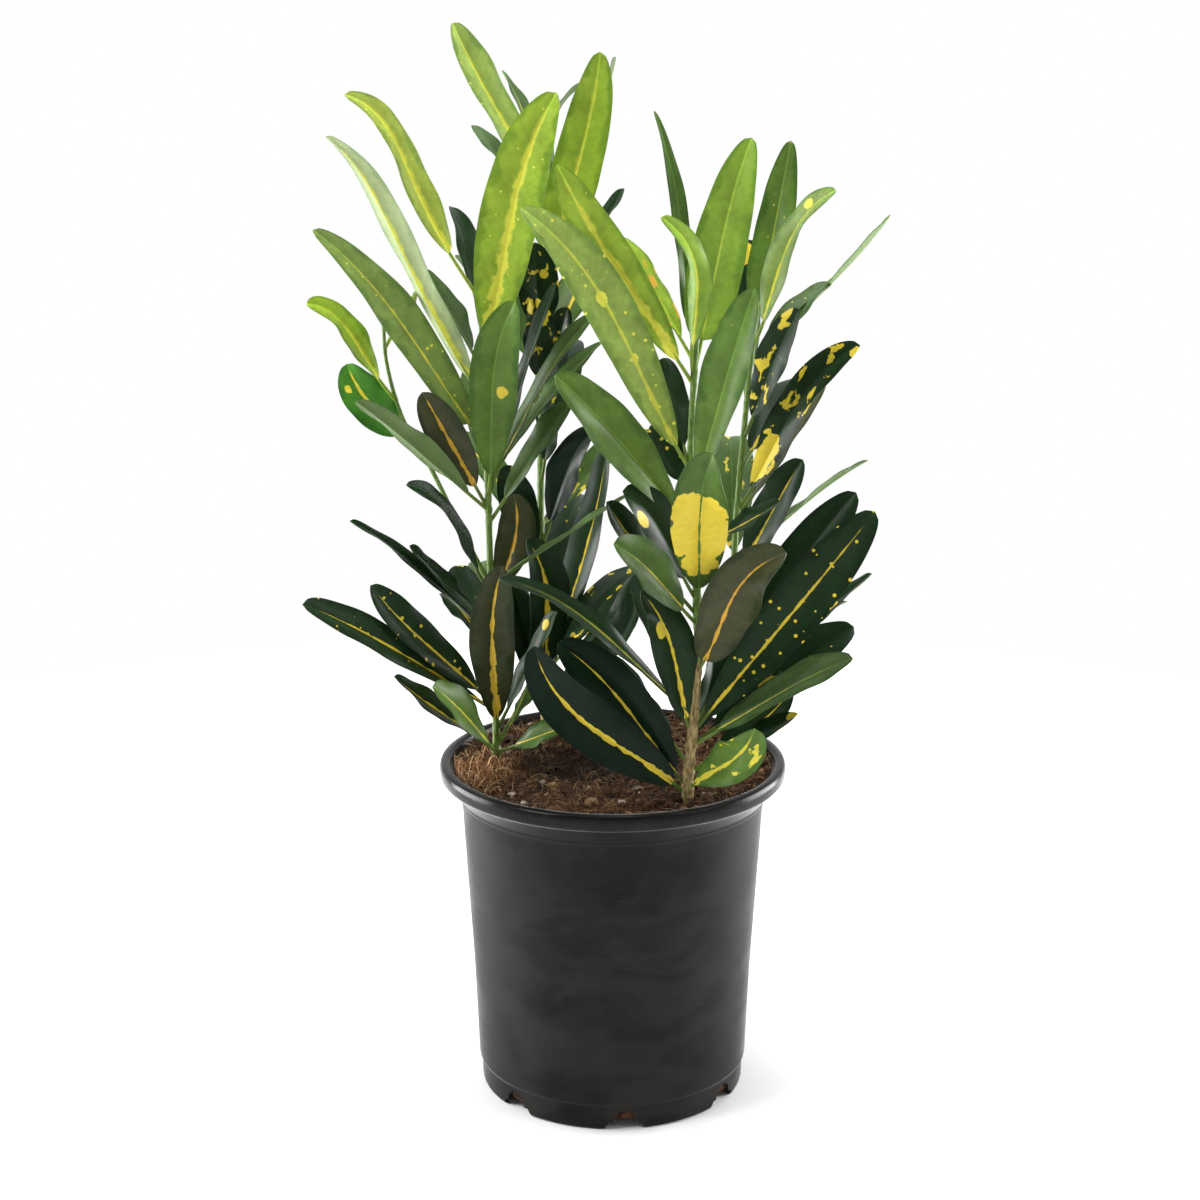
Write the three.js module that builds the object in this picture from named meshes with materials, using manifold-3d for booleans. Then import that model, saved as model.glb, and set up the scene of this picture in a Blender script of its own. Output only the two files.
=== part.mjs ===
// A croton in its nursery pot: a black plastic pot, the soil in it and four rooted, leafy shoots.
// Millimetres, +Z up. The origin is the middle of the pot's base, on the plane that the pot stands on.
// The side with the lowest, widest leaves, -Y, is the front.

import * as THREE from 'three';
import { mergeVertices } from 'three/addons/utils/BufferGeometryUtils.js';
import Module from 'manifold-3d';

const wasm = await Module();
wasm.setup();

// Pot
const POT_HEIGHT = 163;
const LIP_RADIUS = 82.5;
const LIP_INNER_RADIUS = 77;
const WALL = 1.2;
const FOOT_HEIGHT = 13;
const FOOT_RADIUS = 63.5;
const FOOT_INNER_RADIUS = 60.6;
const FOOT_DRAFT = 0.4;
const FLOOR_HEIGHT = 3.5;
const FLOOR_THICKNESS = 1.5;
const ROUND_SEGMENTS = 35;

// Drain notches: low gaps between the feet, each with an arch above it
const NOTCH_COUNT = 7;
const FIRST_NOTCH_ANGLE = -85;
const ARCH_HALF_WIDTH = 5.7;
const ARCH_TOP = 10;
const ARCH_SEGMENTS = 5;
const GAP_TOP_HALF_WIDTH = 7.8;
const GAP_FOOT_HALF_WIDTH = 10.3;
const GAP_HEIGHT = 3.7;
const NOTCH_INNER_RADIUS = 56.5;
const CUT_MARGIN = 1;

// Soil
const SOIL_GAP = 0.3;
const SOIL_EDGE_RADIUS = 75.8;
const SOIL_EDGE_HEIGHT = 159.5;
const SOIL_RISE = 0.8;
const BROAD_MOUND_HEIGHT = 1.2;
const BROAD_MOUND_SCALE = 12;
const SMALL_MOUND_HEIGHT = 0.7;
const SMALL_MOUND_SCALE = 6;
const FLAT_RIM_SHARE = 0.33;
const SOIL_RINGS = 3;
const HOLE_BOTTOM = 140;
const HOLE_TOP = 168;
const HOLE_CLEARANCE = 0.4;
const HOLE_SIDES = 10;

// Stems
const STEM_SIDES = 8;
const STEM_STEPS = 8;
const STEM_FOOT = HOLE_BOTTOM + 0.5;

// Leaves
const PETIOLE_LENGTH = 14;
const PETIOLE_HALF_WIDTH = 0.9;
const PETIOLE_THICKNESS = 1.4;
const BLADE_THICKNESS = 0.7;
const KEEL = 0.3;
const FOLD = 0.18;
const WAVE_HEIGHT = 0.9;
const WAVES_PER_LEAF = 1.5;
const TIP_HALF_WIDTH = 0.4;
const WIDEST = 1.2;
const TAPER = 0.45;
const BEND_SCALE = 6.75;
const TIP_BEND_SCALE = 12.2;
const BLADE_STATIONS = [0.12, 0.34, 0.6, 0.82, 0.95, 1];
const UP_SHARE = 0.6;
const FACING_SHARE = 0.8;

const Z_AXIS = new THREE.Vector3(0, 0, 1);

// The pot's outer side as radius and height, from the foot to the top of the lip.
const POT_OUTSIDE = [
  [62.4, 0],
  [FOOT_RADIUS, 1.4],
  [FOOT_RADIUS + 0.3, FOOT_HEIGHT - 0.8],
  [65, FOOT_HEIGHT + 0.5],
  [66.9, 60],
  [71, 127],
  [71.6, 139],
  [72.6, 145],
  [76.4, 150.6],
  [81, 156],
  [LIP_RADIUS, 160],
  [81.9, 162.4],
  [80.4, POT_HEIGHT],
];

// The pot's inner side as radius and height, from the top of the lip to the floor.
const POT_INSIDE = [
  [78.4, POT_HEIGHT],
  [LIP_INNER_RADIUS, 162],
  [74.6, 154.6],
  [71.6 - WALL, 139],
  [66.9 - WALL, 60],
  [65 - WALL, FOOT_HEIGHT + 0.5],
  [FOOT_RADIUS - WALL, FLOOR_HEIGHT + FLOOR_THICKNESS],
];

// Each stem's points run from the soil up, and its radius narrows from the first number to the second.
const LEFT_STEM = {
  points: [[-55, -4, STEM_FOOT], [-55, -4, 166], [-57, -4, 253], [-58, -3, 305], [-60, -3, 386]],
  radii: [1.9, 1.2],
};
const SLENDER_SIDE_STEM = {
  points: [[-57, -4, 248], [-73, 2, 279], [-84, 4, 302], [-97, 5, 326], [-104, 6, 352], [-105, 4, 370]],
  radii: [1.2, 0.8],
};
const TALL_STEM = {
  points: [[-33, 30, STEM_FOOT], [-33, 30, 166], [-34, 30, 306], [-28, 30, 430]],
  radii: [2.3, 1.2],
};
const FRONT_STEM = {
  points: [[34, -54, STEM_FOOT], [34, -54, 166], [38, -54, 234], [34, -52, 317], [36, -50, 374]],
  radii: [2.7, 1.3],
};
const BACK_STEM = {
  points: [[58, 20, STEM_FOOT], [58, 20, 166], [58, 20, 264], [66, 24, 370]],
  radii: [2.2, 1.2],
};

// A leaf is: the height of its root on the stem, the x, y and z of its tip, its width, how far its middle
// rises above the straight line from root to tip, how far it strays to the right of that line, and the
// compass direction that its upper face looks to, in degrees, where -90 is the front and 0 is +X.
// Where more numbers follow, they are the petiole's length, the place where the blade is widest (the lower
// that number, the nearer to the petiole) and how far the part next to the tip arches up before it hangs.
const LEFT_LEAVES = [
  [357, -25, -12, 475, 28, 5, 1, -95, 10, 1.05],
  [382, -117, -25, 475, 17, 0, 0, -50, 27, 0.9, 7.5],
  [335, -131, 25, 453, 18, 1, 0, 60, 14, 0.9, 5],
  [315, -132, -30, 417, 21, 5, 0, -65, 14, 0.8],
  [290, -43, -40, 387, 22, 2, 5, -80],
  [369, -75, 35, 420, 18, 2, 2, -30],
  [350, -88, 35, 391, 15, -3, 3, -35],
  [285, -86, -20, 343, 18, 0, 0, -105],
  [246, -92, -45, 306, 11, 7, -1, -35],
  [225, -119, -30, 286, 10, 2.5, 0, -15],
  [230, -93, -20, 272, 11, -1, 0, -20],
  [222, -74, 40, 247, 17, -1, -2, -80],
  [215, -82, 30, 236, 14, 1, 1, -50],
  [188, -138, -60, 255, 18, 2, 0, -40, 8, 1.8],
  [190, -110, -35, 257, 18, -2, 0, -65],
  [168, -101, -25, 211, 15, -1.5, 0, -15],
  [167, -82, -45, 212, 18, 1, -1, -50, 10, 1.4],
  [235, -47, 20, 287, 18, -2, 4, -80],
  [172, -50, -35, 266, 21, 0, 4, -85],
  [168, -38, -10, 209, 12, -1, 0, -25],
  [167, -21, -35, 190, 14, 0, 0, -160],
  [297, -6, -5, 378, 15, 4, 0, -155],
  [301, -5, 10, 361, 15, 2, 1, -155],
  [285, -115, -30, 341, 18, 1, 0, 60],
  [300, -66, 78, 338, 20, 6, 0, -80],
  [210, -66, 82, 238, 20, 6, 0, -85],
  [292, -26, -12, 391, 13, 1, 0, -150],
  [279, -18, 2, 336, 16, 1, 0, -140],
  [250, 8, -34, 300, 7, 0, 0, 160],
  [178, -26, -22, 241, 14, 0, 0, -150],
];
const SLENDER_SIDE_LEAVES = [
  [335, -137, -20, 383, 15, 4, 0, -50, 14, 1.2, 2],
  [309, -123, 15, 350, 20, -3, -2, -110, 14, 1],
  [358, -91, 20, 383, 8, 0, 0, 25],
];
const TALL_LEAVES = [
  [421, -72, 15, 504, 20, -1.5, 0, -55],
  [388, -6, 20, 491, 23, -2, -1, -85, 14, 0.8],
  [424, 1, 55, 487, 12, -2, 2, 165],
  [417, -12, 60, 475, 10, 6, -8, 160],
  [426, -52, 70, 480, 11, 0, 2, -15],
  [412, -66, 65, 455, 15, 0, 0, -30],
  [377, 5, 60, 426, 15, -1, 1, -155],
  [354, -35, -2, 408, 20, 0, 1, -85],
  [330, -38, 0, 382, 16, 1, -2, -85],
  [260, -9, 10, 320, 18, 3.5, 1, -110],
  [187, -3, 0, 313, 20, -2, -2, -130],
  [187, -40, -5, 271, 22, 2, -6, -70],
  [182, 11, 40, 242, 16, -6, 0, -140],
  [180, 11, 10, 242, 20, -8, 0, -135],
  [390, -40, 100, 450, 18, 5, 0, -90],
  [350, 0, 105, 392, 20, 6, 0, -110],
  [340, -75, 95, 390, 20, 6, 0, -60],
  [300, -20, 116, 345, 22, 8, 0, -90],
  [270, 20, 92, 303, 20, 6, 0, -130],
  [260, -85, 98, 300, 22, 8, 0, -50],
  [225, -15, 116, 265, 22, 8, 0, -95],
  [205, -68, 88, 235, 20, 5, 0, -60],
  [195, 15, 85, 235, 18, 4, 0, -120],
  [245, -51, 24, 300, 18, 0, 0, -90],
  [180, -47, 8, 246, 16, 0, 0, -90],
  [325, -21, 10, 377, 15, 0, 0, -100],
  [290, -26, 8, 332, 12, 2, 0, -100],
];
const FRONT_LEAVES = [
  [358, 60, -30, 457, 24, 1, -2, -90, 14, 0.7],
  [352, -24, -70, 449, 19, -2, 0, -100],
  [314, -39, -80, 432, 22, 8, -2, -95],
  [366, 18, -10, 467, 9, 1, 3, -60, 14, 0.45],
  [356, 20, -60, 426, 15, 8, -6, -50],
  [362, 3, -15, 412, 14, 0, 1, -40],
  [300, 59, -85, 399, 23, -2, 3, -115],
  [252, 41, -116, 335, 25, 1, 3, -90],
  [287, -25, -90, 363, 23, 2, 0, -85],
  [255, 4, -75, 310, 21, 4, -1, -70],
  [248, -3, -70, 304, 18, -2, 0, -45],
  [244, 0, -90, 290, 22, 2, -1, -70],
  [222, 74, -90, 286, 26, 6, 5, -70, 8, 1],
  [278, 73, -60, 302, 14, -1, 0, -165],
  [191, 12, -65, 262, 21, 5, 0, -75, 10, 1.1],
  [180, 45, -30, 230, 14, -1, 3, -35],
  [202, -50, -80, 272, 13, 7, 0, -25],
  [163, -35, -75, 240, 25, -9, 0, -110, 10, 1.1],
  [167, -25, -50, 234, 25, 4, 0, -110, 10, 1.1],
  [166, 62, -85, 205, 21, -4, 0, -70, 6, 1.6],
  [193, 116, -50, 295, 25, -0.5, 0, -75, 10],
  [196, 110, -25, 298, 24, 1, -3, -75],
  [187, 109, -40, 239, 24, 1, -1, -110],
  [187, 107, -60, 230, 20, 1.5, -1, -155],
  [175, 83, -60, 204, 12, 0, 1, -160],
  [173, 82, -30, 206, 15, -2, 2, -115],
  [178, -3, -30, 223, 15, 0, 0, -30],
  [205, 10, -28, 261, 16, 0, 0, -70],
  [312, 22, -28, 360, 14, 0, 0, -100],
  [297, 18, -40, 333, 15, 0, 0, -80],
];
const BACK_LEAVES = [
  [360, 83, 50, 449, 18, -2, -1, -95, 14, 0.7],
  [357, 99, -10, 432, 17, 9, 0, -135, 14, 0.9],
  [350, 136, 100, 409, 10, -1, 2, 170],
  [341, 104, 60, 381, 16, 2.5, -2.5, -140],
  [313, 84, -10, 379, 18, 1, 1, -115],
  [360, 64, 50, 403, 16, 0, -2, -110],
  [279, 112, -5, 362, 19, 7, 2, -120],
  [274, 100, 30, 340, 18, 0, 1, -150],
  [255, 124, 60, 295, 10, 1, -2, 175],
  [243, 87, -5, 309, 20, -1, 3, -115],
  [210, 122, 10, 251, 16, -3, 2, -170],
  [330, 60, 108, 385, 20, 5, 0, -90],
  [300, 98, 95, 328, 20, 6, 0, -120],
  [250, 60, 116, 295, 22, 8, 0, -90],
  [215, 105, 75, 235, 20, 6, 0, -130],
  [205, 75, 105, 240, 20, 5, 0, -100],
  [190, 115, 55, 225, 18, 4, 0, -150],
];

// Turns a closed three.js geometry into a solid: shared corners merged, triangles with no area left out.
function solidOf(geometry) {
  geometry.deleteAttribute('normal');
  geometry.deleteAttribute('uv');
  const merged = mergeVertices(geometry, 1e-4);
  const corners = merged.index.array;
  const triangles = [];
  for (let i = 0; i < corners.length; i += 3) {
    const [a, b, c] = corners.slice(i, i + 3);
    if (a !== b && b !== c && c !== a) triangles.push(a, b, c);
  }
  return new wasm.Manifold(new wasm.Mesh({
    numProp: 3,
    vertProperties: Float32Array.from(merged.attributes.position.array),
    triVerts: Uint32Array.from(triangles),
  }));
}

function meshOf(name, solid, material) {
  const { vertProperties, triVerts } = solid.getMesh();
  const geometry = new THREE.BufferGeometry();
  geometry.setAttribute('position', new THREE.BufferAttribute(vertProperties, 3));
  geometry.setIndex(new THREE.BufferAttribute(triVerts, 1));
  geometry.computeVertexNormals();
  const mesh = new THREE.Mesh(geometry, material);
  mesh.name = name;
  return mesh;
}

function lathe(profile) {
  const points = profile.map(([radius, height]) => new THREE.Vector2(radius, height));
  return new THREE.LatheGeometry(points, ROUND_SEGMENTS).rotateX(Math.PI / 2);
}

// A closed body through rings of points with the same count. On the half of the ring with the higher
// numbers the quads are split the other way, so that a blade's two faces are split alike.
function loft(rings) {
  const count = rings[0].length;
  const index = [];
  const quad = (a, b, c, d) => index.push(a, b, c, a, c, d);
  for (let k = 0; k + 1 < rings.length; k++) {
    for (let i = 0; i < count; i++) {
      const here = k * count;
      const next = here + count;
      const j = (i + 1) % count;
      if (i < count / 2) quad(here + i, here + j, next + j, next + i);
      else quad(here + j, next + j, next + i, here + i);
    }
  }
  const last = (rings.length - 1) * count;
  for (let i = 0; i + 1 < count / 2; i++) {
    const across = [i, i + 1, count - 2 - i, count - 1 - i];
    quad(...across.toReversed());
    quad(...across.map((corner) => last + corner));
  }
  const geometry = new THREE.BufferGeometry().setFromPoints(rings.flat());
  geometry.setIndex(index);
  return geometry;
}

// The outline of one drain notch, seen from outside: a gap that widens downwards, and the arch above it.
function notchOutline() {
  const outline = new THREE.Shape();
  const archCentre = ARCH_TOP - ARCH_HALF_WIDTH;
  outline.moveTo(-GAP_FOOT_HALF_WIDTH, -CUT_MARGIN);
  outline.lineTo(GAP_FOOT_HALF_WIDTH, -CUT_MARGIN);
  outline.lineTo(GAP_TOP_HALF_WIDTH, GAP_HEIGHT);
  outline.lineTo(ARCH_HALF_WIDTH, GAP_HEIGHT);
  outline.lineTo(ARCH_HALF_WIDTH, archCentre);
  outline.absarc(0, archCentre, ARCH_HALF_WIDTH, 0, Math.PI, false);
  outline.lineTo(-ARCH_HALF_WIDTH, GAP_HEIGHT);
  outline.lineTo(-GAP_TOP_HALF_WIDTH, GAP_HEIGHT);
  return outline;
}

// The body that cuts one drain notch. It stands upright across the foot, facing the angle.
function notchCutter(angle) {
  const cutter = new THREE.ExtrudeGeometry(notchOutline(), {
    depth: FOOT_RADIUS + FOOT_HEIGHT - NOTCH_INNER_RADIUS,
    bevelEnabled: false,
    curveSegments: ARCH_SEGMENTS,
  });
  cutter.translate(0, 0, NOTCH_INNER_RADIUS);
  cutter.rotateX(Math.PI / 2).rotateZ(angle + Math.PI / 2);
  return solidOf(cutter);
}

function potSolid() {
  const underside = [
    [0, FLOOR_HEIGHT],
    [FOOT_INNER_RADIUS - FOOT_DRAFT, FLOOR_HEIGHT],
    [FOOT_INNER_RADIUS, 0],
  ];
  const floorTop = [[0, FLOOR_HEIGHT + FLOOR_THICKNESS]];
  let pot = solidOf(lathe([...underside, ...POT_OUTSIDE, ...POT_INSIDE, ...floorTop]));
  const firstAngle = THREE.MathUtils.degToRad(FIRST_NOTCH_ANGLE);
  for (let i = 0; i < NOTCH_COUNT; i++) {
    pot = pot.subtract(notchCutter(firstAngle + (i * 2 * Math.PI) / NOTCH_COUNT));
  }
  return pot;
}

// The height of the soil's top above its edge: gentle mounds and hollows that fade out at the pot's wall.
function soilRelief(x, y) {
  const inward = Math.max(0, 1 - Math.hypot(x, y) / SOIL_EDGE_RADIUS);
  const fade = Math.min(1, inward / FLAT_RIM_SHARE);
  const broad = Math.sin(x / BROAD_MOUND_SCALE + 1) * Math.cos(y / BROAD_MOUND_SCALE);
  const small = Math.sin((x + y) / SMALL_MOUND_SCALE);
  return fade * (SOIL_RISE + BROAD_MOUND_HEIGHT * broad + SMALL_MOUND_HEIGHT * small);
}

function soilSolid(stems) {
  const floor = FLOOR_HEIGHT + FLOOR_THICKNESS + SOIL_GAP;
  const wall = POT_INSIDE.filter(([, height]) => height < SOIL_EDGE_HEIGHT)
    .map(([radius, height]) => [radius - SOIL_GAP, Math.max(floor, height)])
    .reverse();
  const top = [];
  for (let ring = 0; ring <= SOIL_RINGS; ring++) {
    top.push([SOIL_EDGE_RADIUS * (1 - ring / SOIL_RINGS), SOIL_EDGE_HEIGHT]);
  }
  const body = lathe([[0, floor], ...wall, ...top]);
  const places = body.attributes.position;
  for (let i = 0; i < places.count; i++) {
    if (places.getZ(i) > SOIL_EDGE_HEIGHT - SOIL_GAP) {
      places.setZ(i, SOIL_EDGE_HEIGHT + soilRelief(places.getX(i), places.getY(i)));
    }
  }
  let soil = solidOf(body);
  for (const { points: [[x, y]], radii: [stemRadius] } of stems) {
    const radius = stemRadius + HOLE_CLEARANCE;
    const hole = new THREE.CylinderGeometry(radius, radius, HOLE_TOP - HOLE_BOTTOM, HOLE_SIDES);
    hole.rotateX(Math.PI / 2).translate(x, y, (HOLE_TOP + HOLE_BOTTOM) / 2);
    soil = soil.subtract(solidOf(hole));
  }
  return soil;
}

function stemCurve(stem) {
  const points = stem.points.map((point) => new THREE.Vector3(...point));
  return new THREE.CatmullRomCurve3(points, false, 'centripetal');
}

function stemSolid(stem) {
  const curve = stemCurve(stem);
  const rings = [];
  for (let k = 0; k <= STEM_STEPS; k++) {
    const centre = curve.getPointAt(k / STEM_STEPS);
    const radius = THREE.MathUtils.lerp(...stem.radii, k / STEM_STEPS);
    const ring = [];
    for (let i = 0; i < STEM_SIDES; i++) {
      const angle = (i * 2 * Math.PI) / STEM_SIDES;
      const outward = new THREE.Vector3(radius * Math.cos(angle), radius * Math.sin(angle), 0);
      ring.push(outward.add(centre));
    }
    rings.push(ring);
  }
  return solidOf(loft(rings));
}

// The middle of a stem at a height.
function onStem(curve, height) {
  let low = 0;
  let high = 1;
  for (let step = 0; step < 20; step++) {
    const middle = (low + high) / 2;
    if (curve.getPoint(middle).z < height) low = middle;
    else high = middle;
  }
  return curve.getPoint(low);
}

// A blade's width as a share of its widest, from 0 at its base to 1 at its tip.
function bladeShape(along, widest) {
  return Math.sin(Math.PI * Math.min(1, along) ** widest) ** TAPER;
}

// How much of its bow and sweep a leaf has at a share of its length: all of it two thirds of the way up.
function bend(t) {
  return BEND_SCALE * t ** 2 * (1 - t);
}

// How much of its hook a leaf has: all of it at four fifths of the way up, from where a long blade hangs.
function tipBend(t) {
  return TIP_BEND_SCALE * t ** 4 * (1 - t);
}

// One leaf: a petiole from the middle of the stem, then a thin blade folded along its midrib, with wavy
// edges. Each ring runs left edge, midrib, right edge on the upper face, then back on the lower face.
function leafSolid(root, leaf) {
  const [, tipX, tipY, tipZ, width, bow, sweep, facing, ...own] = leaf;
  const [petiole = PETIOLE_LENGTH, widest = WIDEST, hook = 0] = own;
  const chord = new THREE.Vector3(tipX, tipY, tipZ).sub(root);
  const along = chord.clone().normalize();
  const rise = Z_AXIS.clone().addScaledVector(along, -along.z).normalize();
  const right = along.clone().cross(rise);
  const turn = THREE.MathUtils.degToRad(facing);
  const look = new THREE.Vector3(FACING_SHARE * Math.cos(turn), FACING_SHARE * Math.sin(turn), UP_SHARE);

  const centreAt = (t) => root.clone()
    .addScaledVector(chord, t)
    .addScaledVector(rise, bow * bend(t) + hook * tipBend(t))
    .addScaledVector(right, sweep * bend(t));
  const ringAt = (t, halfWidth, thickness, lift, wave) => {
    const tangent = centreAt(Math.min(1, t + 0.01)).sub(centreAt(Math.max(0, t - 0.01))).normalize();
    const normal = look.clone().addScaledVector(tangent, -look.dot(tangent)).normalize();
    const side = tangent.clone().cross(normal);
    const corner = (across, up) => centreAt(t).addScaledVector(side, across).addScaledVector(normal, up);
    const half = thickness / 2;
    return [
      corner(-halfWidth, lift + wave + half),
      corner(0, half),
      corner(halfWidth, lift - wave + half),
      corner(halfWidth, lift - wave - half),
      corner(0, -half - KEEL * Math.min(1, halfWidth)),
      corner(-halfWidth, lift + wave - half),
    ];
  };

  const bladeStart = petiole / chord.length();
  const rings = [
    ringAt(0, PETIOLE_HALF_WIDTH, PETIOLE_THICKNESS, 0, 0),
    ringAt(bladeStart, PETIOLE_HALF_WIDTH, PETIOLE_THICKNESS, 0, 0),
  ];
  for (const station of BLADE_STATIONS) {
    const share = Math.max(0, bladeShape(station, widest));
    const halfWidth = Math.max(TIP_HALF_WIDTH, (share * width) / 2);
    const wave = WAVE_HEIGHT * share * Math.sin(2 * Math.PI * WAVES_PER_LEAF * station + tipX);
    const t = bladeStart + (1 - bladeStart) * station;
    rings.push(ringAt(t, halfWidth, BLADE_THICKNESS, FOLD * halfWidth, wave));
  }
  return solidOf(loft(rings));
}

// A stem with its leaves, as one solid.
function leafyStem(stem, leaves) {
  const curve = stemCurve(stem);
  let shoot = stemSolid(stem);
  for (const leaf of leaves) {
    const [rootHeight] = leaf;
    shoot = shoot.add(leafSolid(onStem(curve, rootHeight), leaf));
  }
  return shoot;
}

const potPlastic = new THREE.MeshStandardMaterial({ color: 0x232425, roughness: 0.45, metalness: 0 });
const soilCrumb = new THREE.MeshStandardMaterial({ color: 0x4b2f20, roughness: 1, metalness: 0 });
const oldLeaf = new THREE.MeshStandardMaterial({ color: 0x22401f, roughness: 0.4, metalness: 0 });
const midLeaf = new THREE.MeshStandardMaterial({ color: 0x35602a, roughness: 0.4, metalness: 0 });
const youngLeaf = new THREE.MeshStandardMaterial({ color: 0x5f8f2c, roughness: 0.4, metalness: 0 });

const leftShoot = leafyStem(LEFT_STEM, LEFT_LEAVES)
  .add(leafyStem(SLENDER_SIDE_STEM, SLENDER_SIDE_LEAVES));

const pottedCroton = new THREE.Group();
pottedCroton.add(
  meshOf('pot', potSolid(), potPlastic),
  meshOf('soil', soilSolid([LEFT_STEM, TALL_STEM, FRONT_STEM, BACK_STEM]), soilCrumb),
  meshOf('left_shoot', leftShoot, midLeaf),
  meshOf('tall_shoot', leafyStem(TALL_STEM, TALL_LEAVES), youngLeaf),
  meshOf('front_shoot', leafyStem(FRONT_STEM, FRONT_LEAVES), midLeaf),
  meshOf('back_shoot', leafyStem(BACK_STEM, BACK_LEAVES), oldLeaf),
);

export default pottedCroton;
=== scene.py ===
"""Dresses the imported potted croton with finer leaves, stems, pot and soil, and sets up the studio.

Lengths are in millimetres up to the moment a mesh is made, which is in metres. The axes are those of the
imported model: +Z up, -Y the front, the origin at the middle of the pot's base.
"""

import math
from collections.abc import Sequence
from typing import NamedTuple

import bmesh
import bpy
import numpy as np
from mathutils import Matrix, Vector, noise


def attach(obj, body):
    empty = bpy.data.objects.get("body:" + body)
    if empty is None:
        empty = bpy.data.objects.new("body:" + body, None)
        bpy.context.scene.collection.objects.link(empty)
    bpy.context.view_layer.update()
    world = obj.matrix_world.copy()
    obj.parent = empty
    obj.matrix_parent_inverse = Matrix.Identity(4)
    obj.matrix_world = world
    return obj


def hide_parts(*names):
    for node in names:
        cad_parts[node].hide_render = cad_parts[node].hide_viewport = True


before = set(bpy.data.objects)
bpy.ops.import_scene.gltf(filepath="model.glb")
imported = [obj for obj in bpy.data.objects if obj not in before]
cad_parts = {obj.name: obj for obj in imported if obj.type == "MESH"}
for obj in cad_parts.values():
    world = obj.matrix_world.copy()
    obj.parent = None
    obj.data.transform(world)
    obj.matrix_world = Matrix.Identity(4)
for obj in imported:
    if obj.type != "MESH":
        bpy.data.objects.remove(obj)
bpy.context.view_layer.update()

MM = 0.001
UP = np.array([0.0, 0.0, 1.0])


class Green(NamedTuple):
    """A leaf's green, and how warm the yellow on it is, from -1 for lime yellow, which is blurred, to 1."""

    colour: tuple
    warmth: float


class Stem(NamedTuple):
    points: list  # what it runs through
    radii: tuple  # at its foot and at its top
    bark_top: float  # the height where its bark ends


class Leaf(NamedTuple):
    """A leaf of the photograph: where it grows, how it bends and what marks it has."""

    root: float  # the height of its root on the stem
    x: float  # its tip
    y: float
    z: float
    width: float
    bow: float  # how far its middle rises above the straight line from root to tip
    sweep: float  # how far its middle strays to the right of that line
    facing: float  # the direction that its upper face looks to, in degrees: 0 is +X, -90 the front
    green: Green
    petiole: float = 14  # its petiole's length
    widest: float = 1.2  # the lower, the nearer to the petiole its blade is widest
    hook: float = 0  # how far the part next to its tip arches up before it hangs
    rib: float = 0  # half the width of its yellow midrib, or below 0 of a green one
    dots: float = 0  # how much of it has dots
    blotch: float = 0  # how much of it has blotches
    patches: Sequence = ()  # each as share along, share across and radius
    warm: float | None = None  # how warm its yellow is, where its green doesn't say it


# Greens of the leaves, linear as all colours here
LIME = Green((0.31, 0.39, 0.06), -1)
YOUNG = Green((0.25, 0.37, 0.035), -0.9)
FRESH = Green((0.185, 0.3, 0.035), -0.7)
MOSS = Green((0.17, 0.25, 0.06), -0.6)
EMERALD = Green((0.05, 0.17, 0.02), -0.3)
OLIVE = Green((0.23, 0.325, 0.065), -0.9)
SAGE = Green((0.085, 0.155, 0.028), -0.5)
LEAF_GREEN = Green((0.085, 0.155, 0.025), -0.2)
MID = Green((0.055, 0.105, 0.02), -0.1)
DARK = Green((0.009, 0.026, 0.008), 0)
DEEP = Green((0.003, 0.012, 0.005), 0.1)
BROWN_GREEN = Green((0.035, 0.042, 0.016), 0.5)
BRONZE = Green((0.05, 0.055, 0.024), 1)
GREY = Green((0.06, 0.105, 0.032), -0.5)
PALE = Green((0.3, 0.35, 0.18), -1)

# Other colours of the plant
YELLOW = (0.62, 0.48, 0.045)
WARM_YELLOW = (0.62, 0.36, 0.05)
LIME_YELLOW = (0.66, 0.66, 0.08)
PETIOLE_GREEN = (0.16, 0.24, 0.04)
UNDERSIDE = (0.14, 0.2, 0.08)
MARGIN_SHADE = (0.6, 0.7, 0.66)
STEM_GREENS = [(0.06, 0.13, 0.014), (0.17, 0.25, 0.05)]
BARK_BROWNS = [(0.10, 0.065, 0.025), (0.36, 0.28, 0.12)]
BARK_OLIVE = (0.20, 0.19, 0.06)

# Colours of the pot, the soil and the floor
POT_BLACKS = [(0.001, 0.001, 0.0013), (0.007, 0.0067, 0.006)]
POT_DUST = (0.033, 0.031, 0.028)
POT_SCRATCH = (0.06, 0.06, 0.06)
EARTHS = [(0.006, 0.0035, 0.002), (0.05, 0.022, 0.01)]
EARTH_GRAIN = (0.12, 0.055, 0.024)
# Painted shade: the near black that the earth turns to in the hollow between the plants
HOLLOW_SHADE_EARTH = (0.006, 0.0035, 0.002)
FLOOR_WHITES = [(0.90, 0.90, 0.90), (0.93, 0.93, 0.93)]

# Roughnesses from one end of a ramp to the other, specular levels, and bump depths in mm
LEAF_ROUGHNESS = (0.33, 0.36)
UNDERSIDE_ROUGHER = 0.15
LEAF_SPECULAR = 0.11
STEM_ROUGHNESS = (0.45, 0.85)
STEM_SPECULAR = 0.3
STEM_BUMP = 0.35
POT_ROUGHNESS = (0.42, 0.14)
MOTTLE_ROUGHER = 0.08
DUST_ROUGHER = 0.5
POT_SPECULAR = 0.13
POT_BUMP = 0.12
POT_SHEEN = 0.62
POT_SHEEN_ROUGHNESS = 0.2
SOIL_ROUGHNESS = (0.8, 0.98)
SOIL_SPECULAR = 0.15
SOIL_BUMP = 1.2
FIBRE_ROUGHNESS = (0.7, 0.92)
FIBRE_SPECULAR = 0.2
FIBRE_BUMP = 0.15
FLOOR_ROUGHNESS = (0.85, 0.95)
FLOOR_SPECULAR = 0.1

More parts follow.
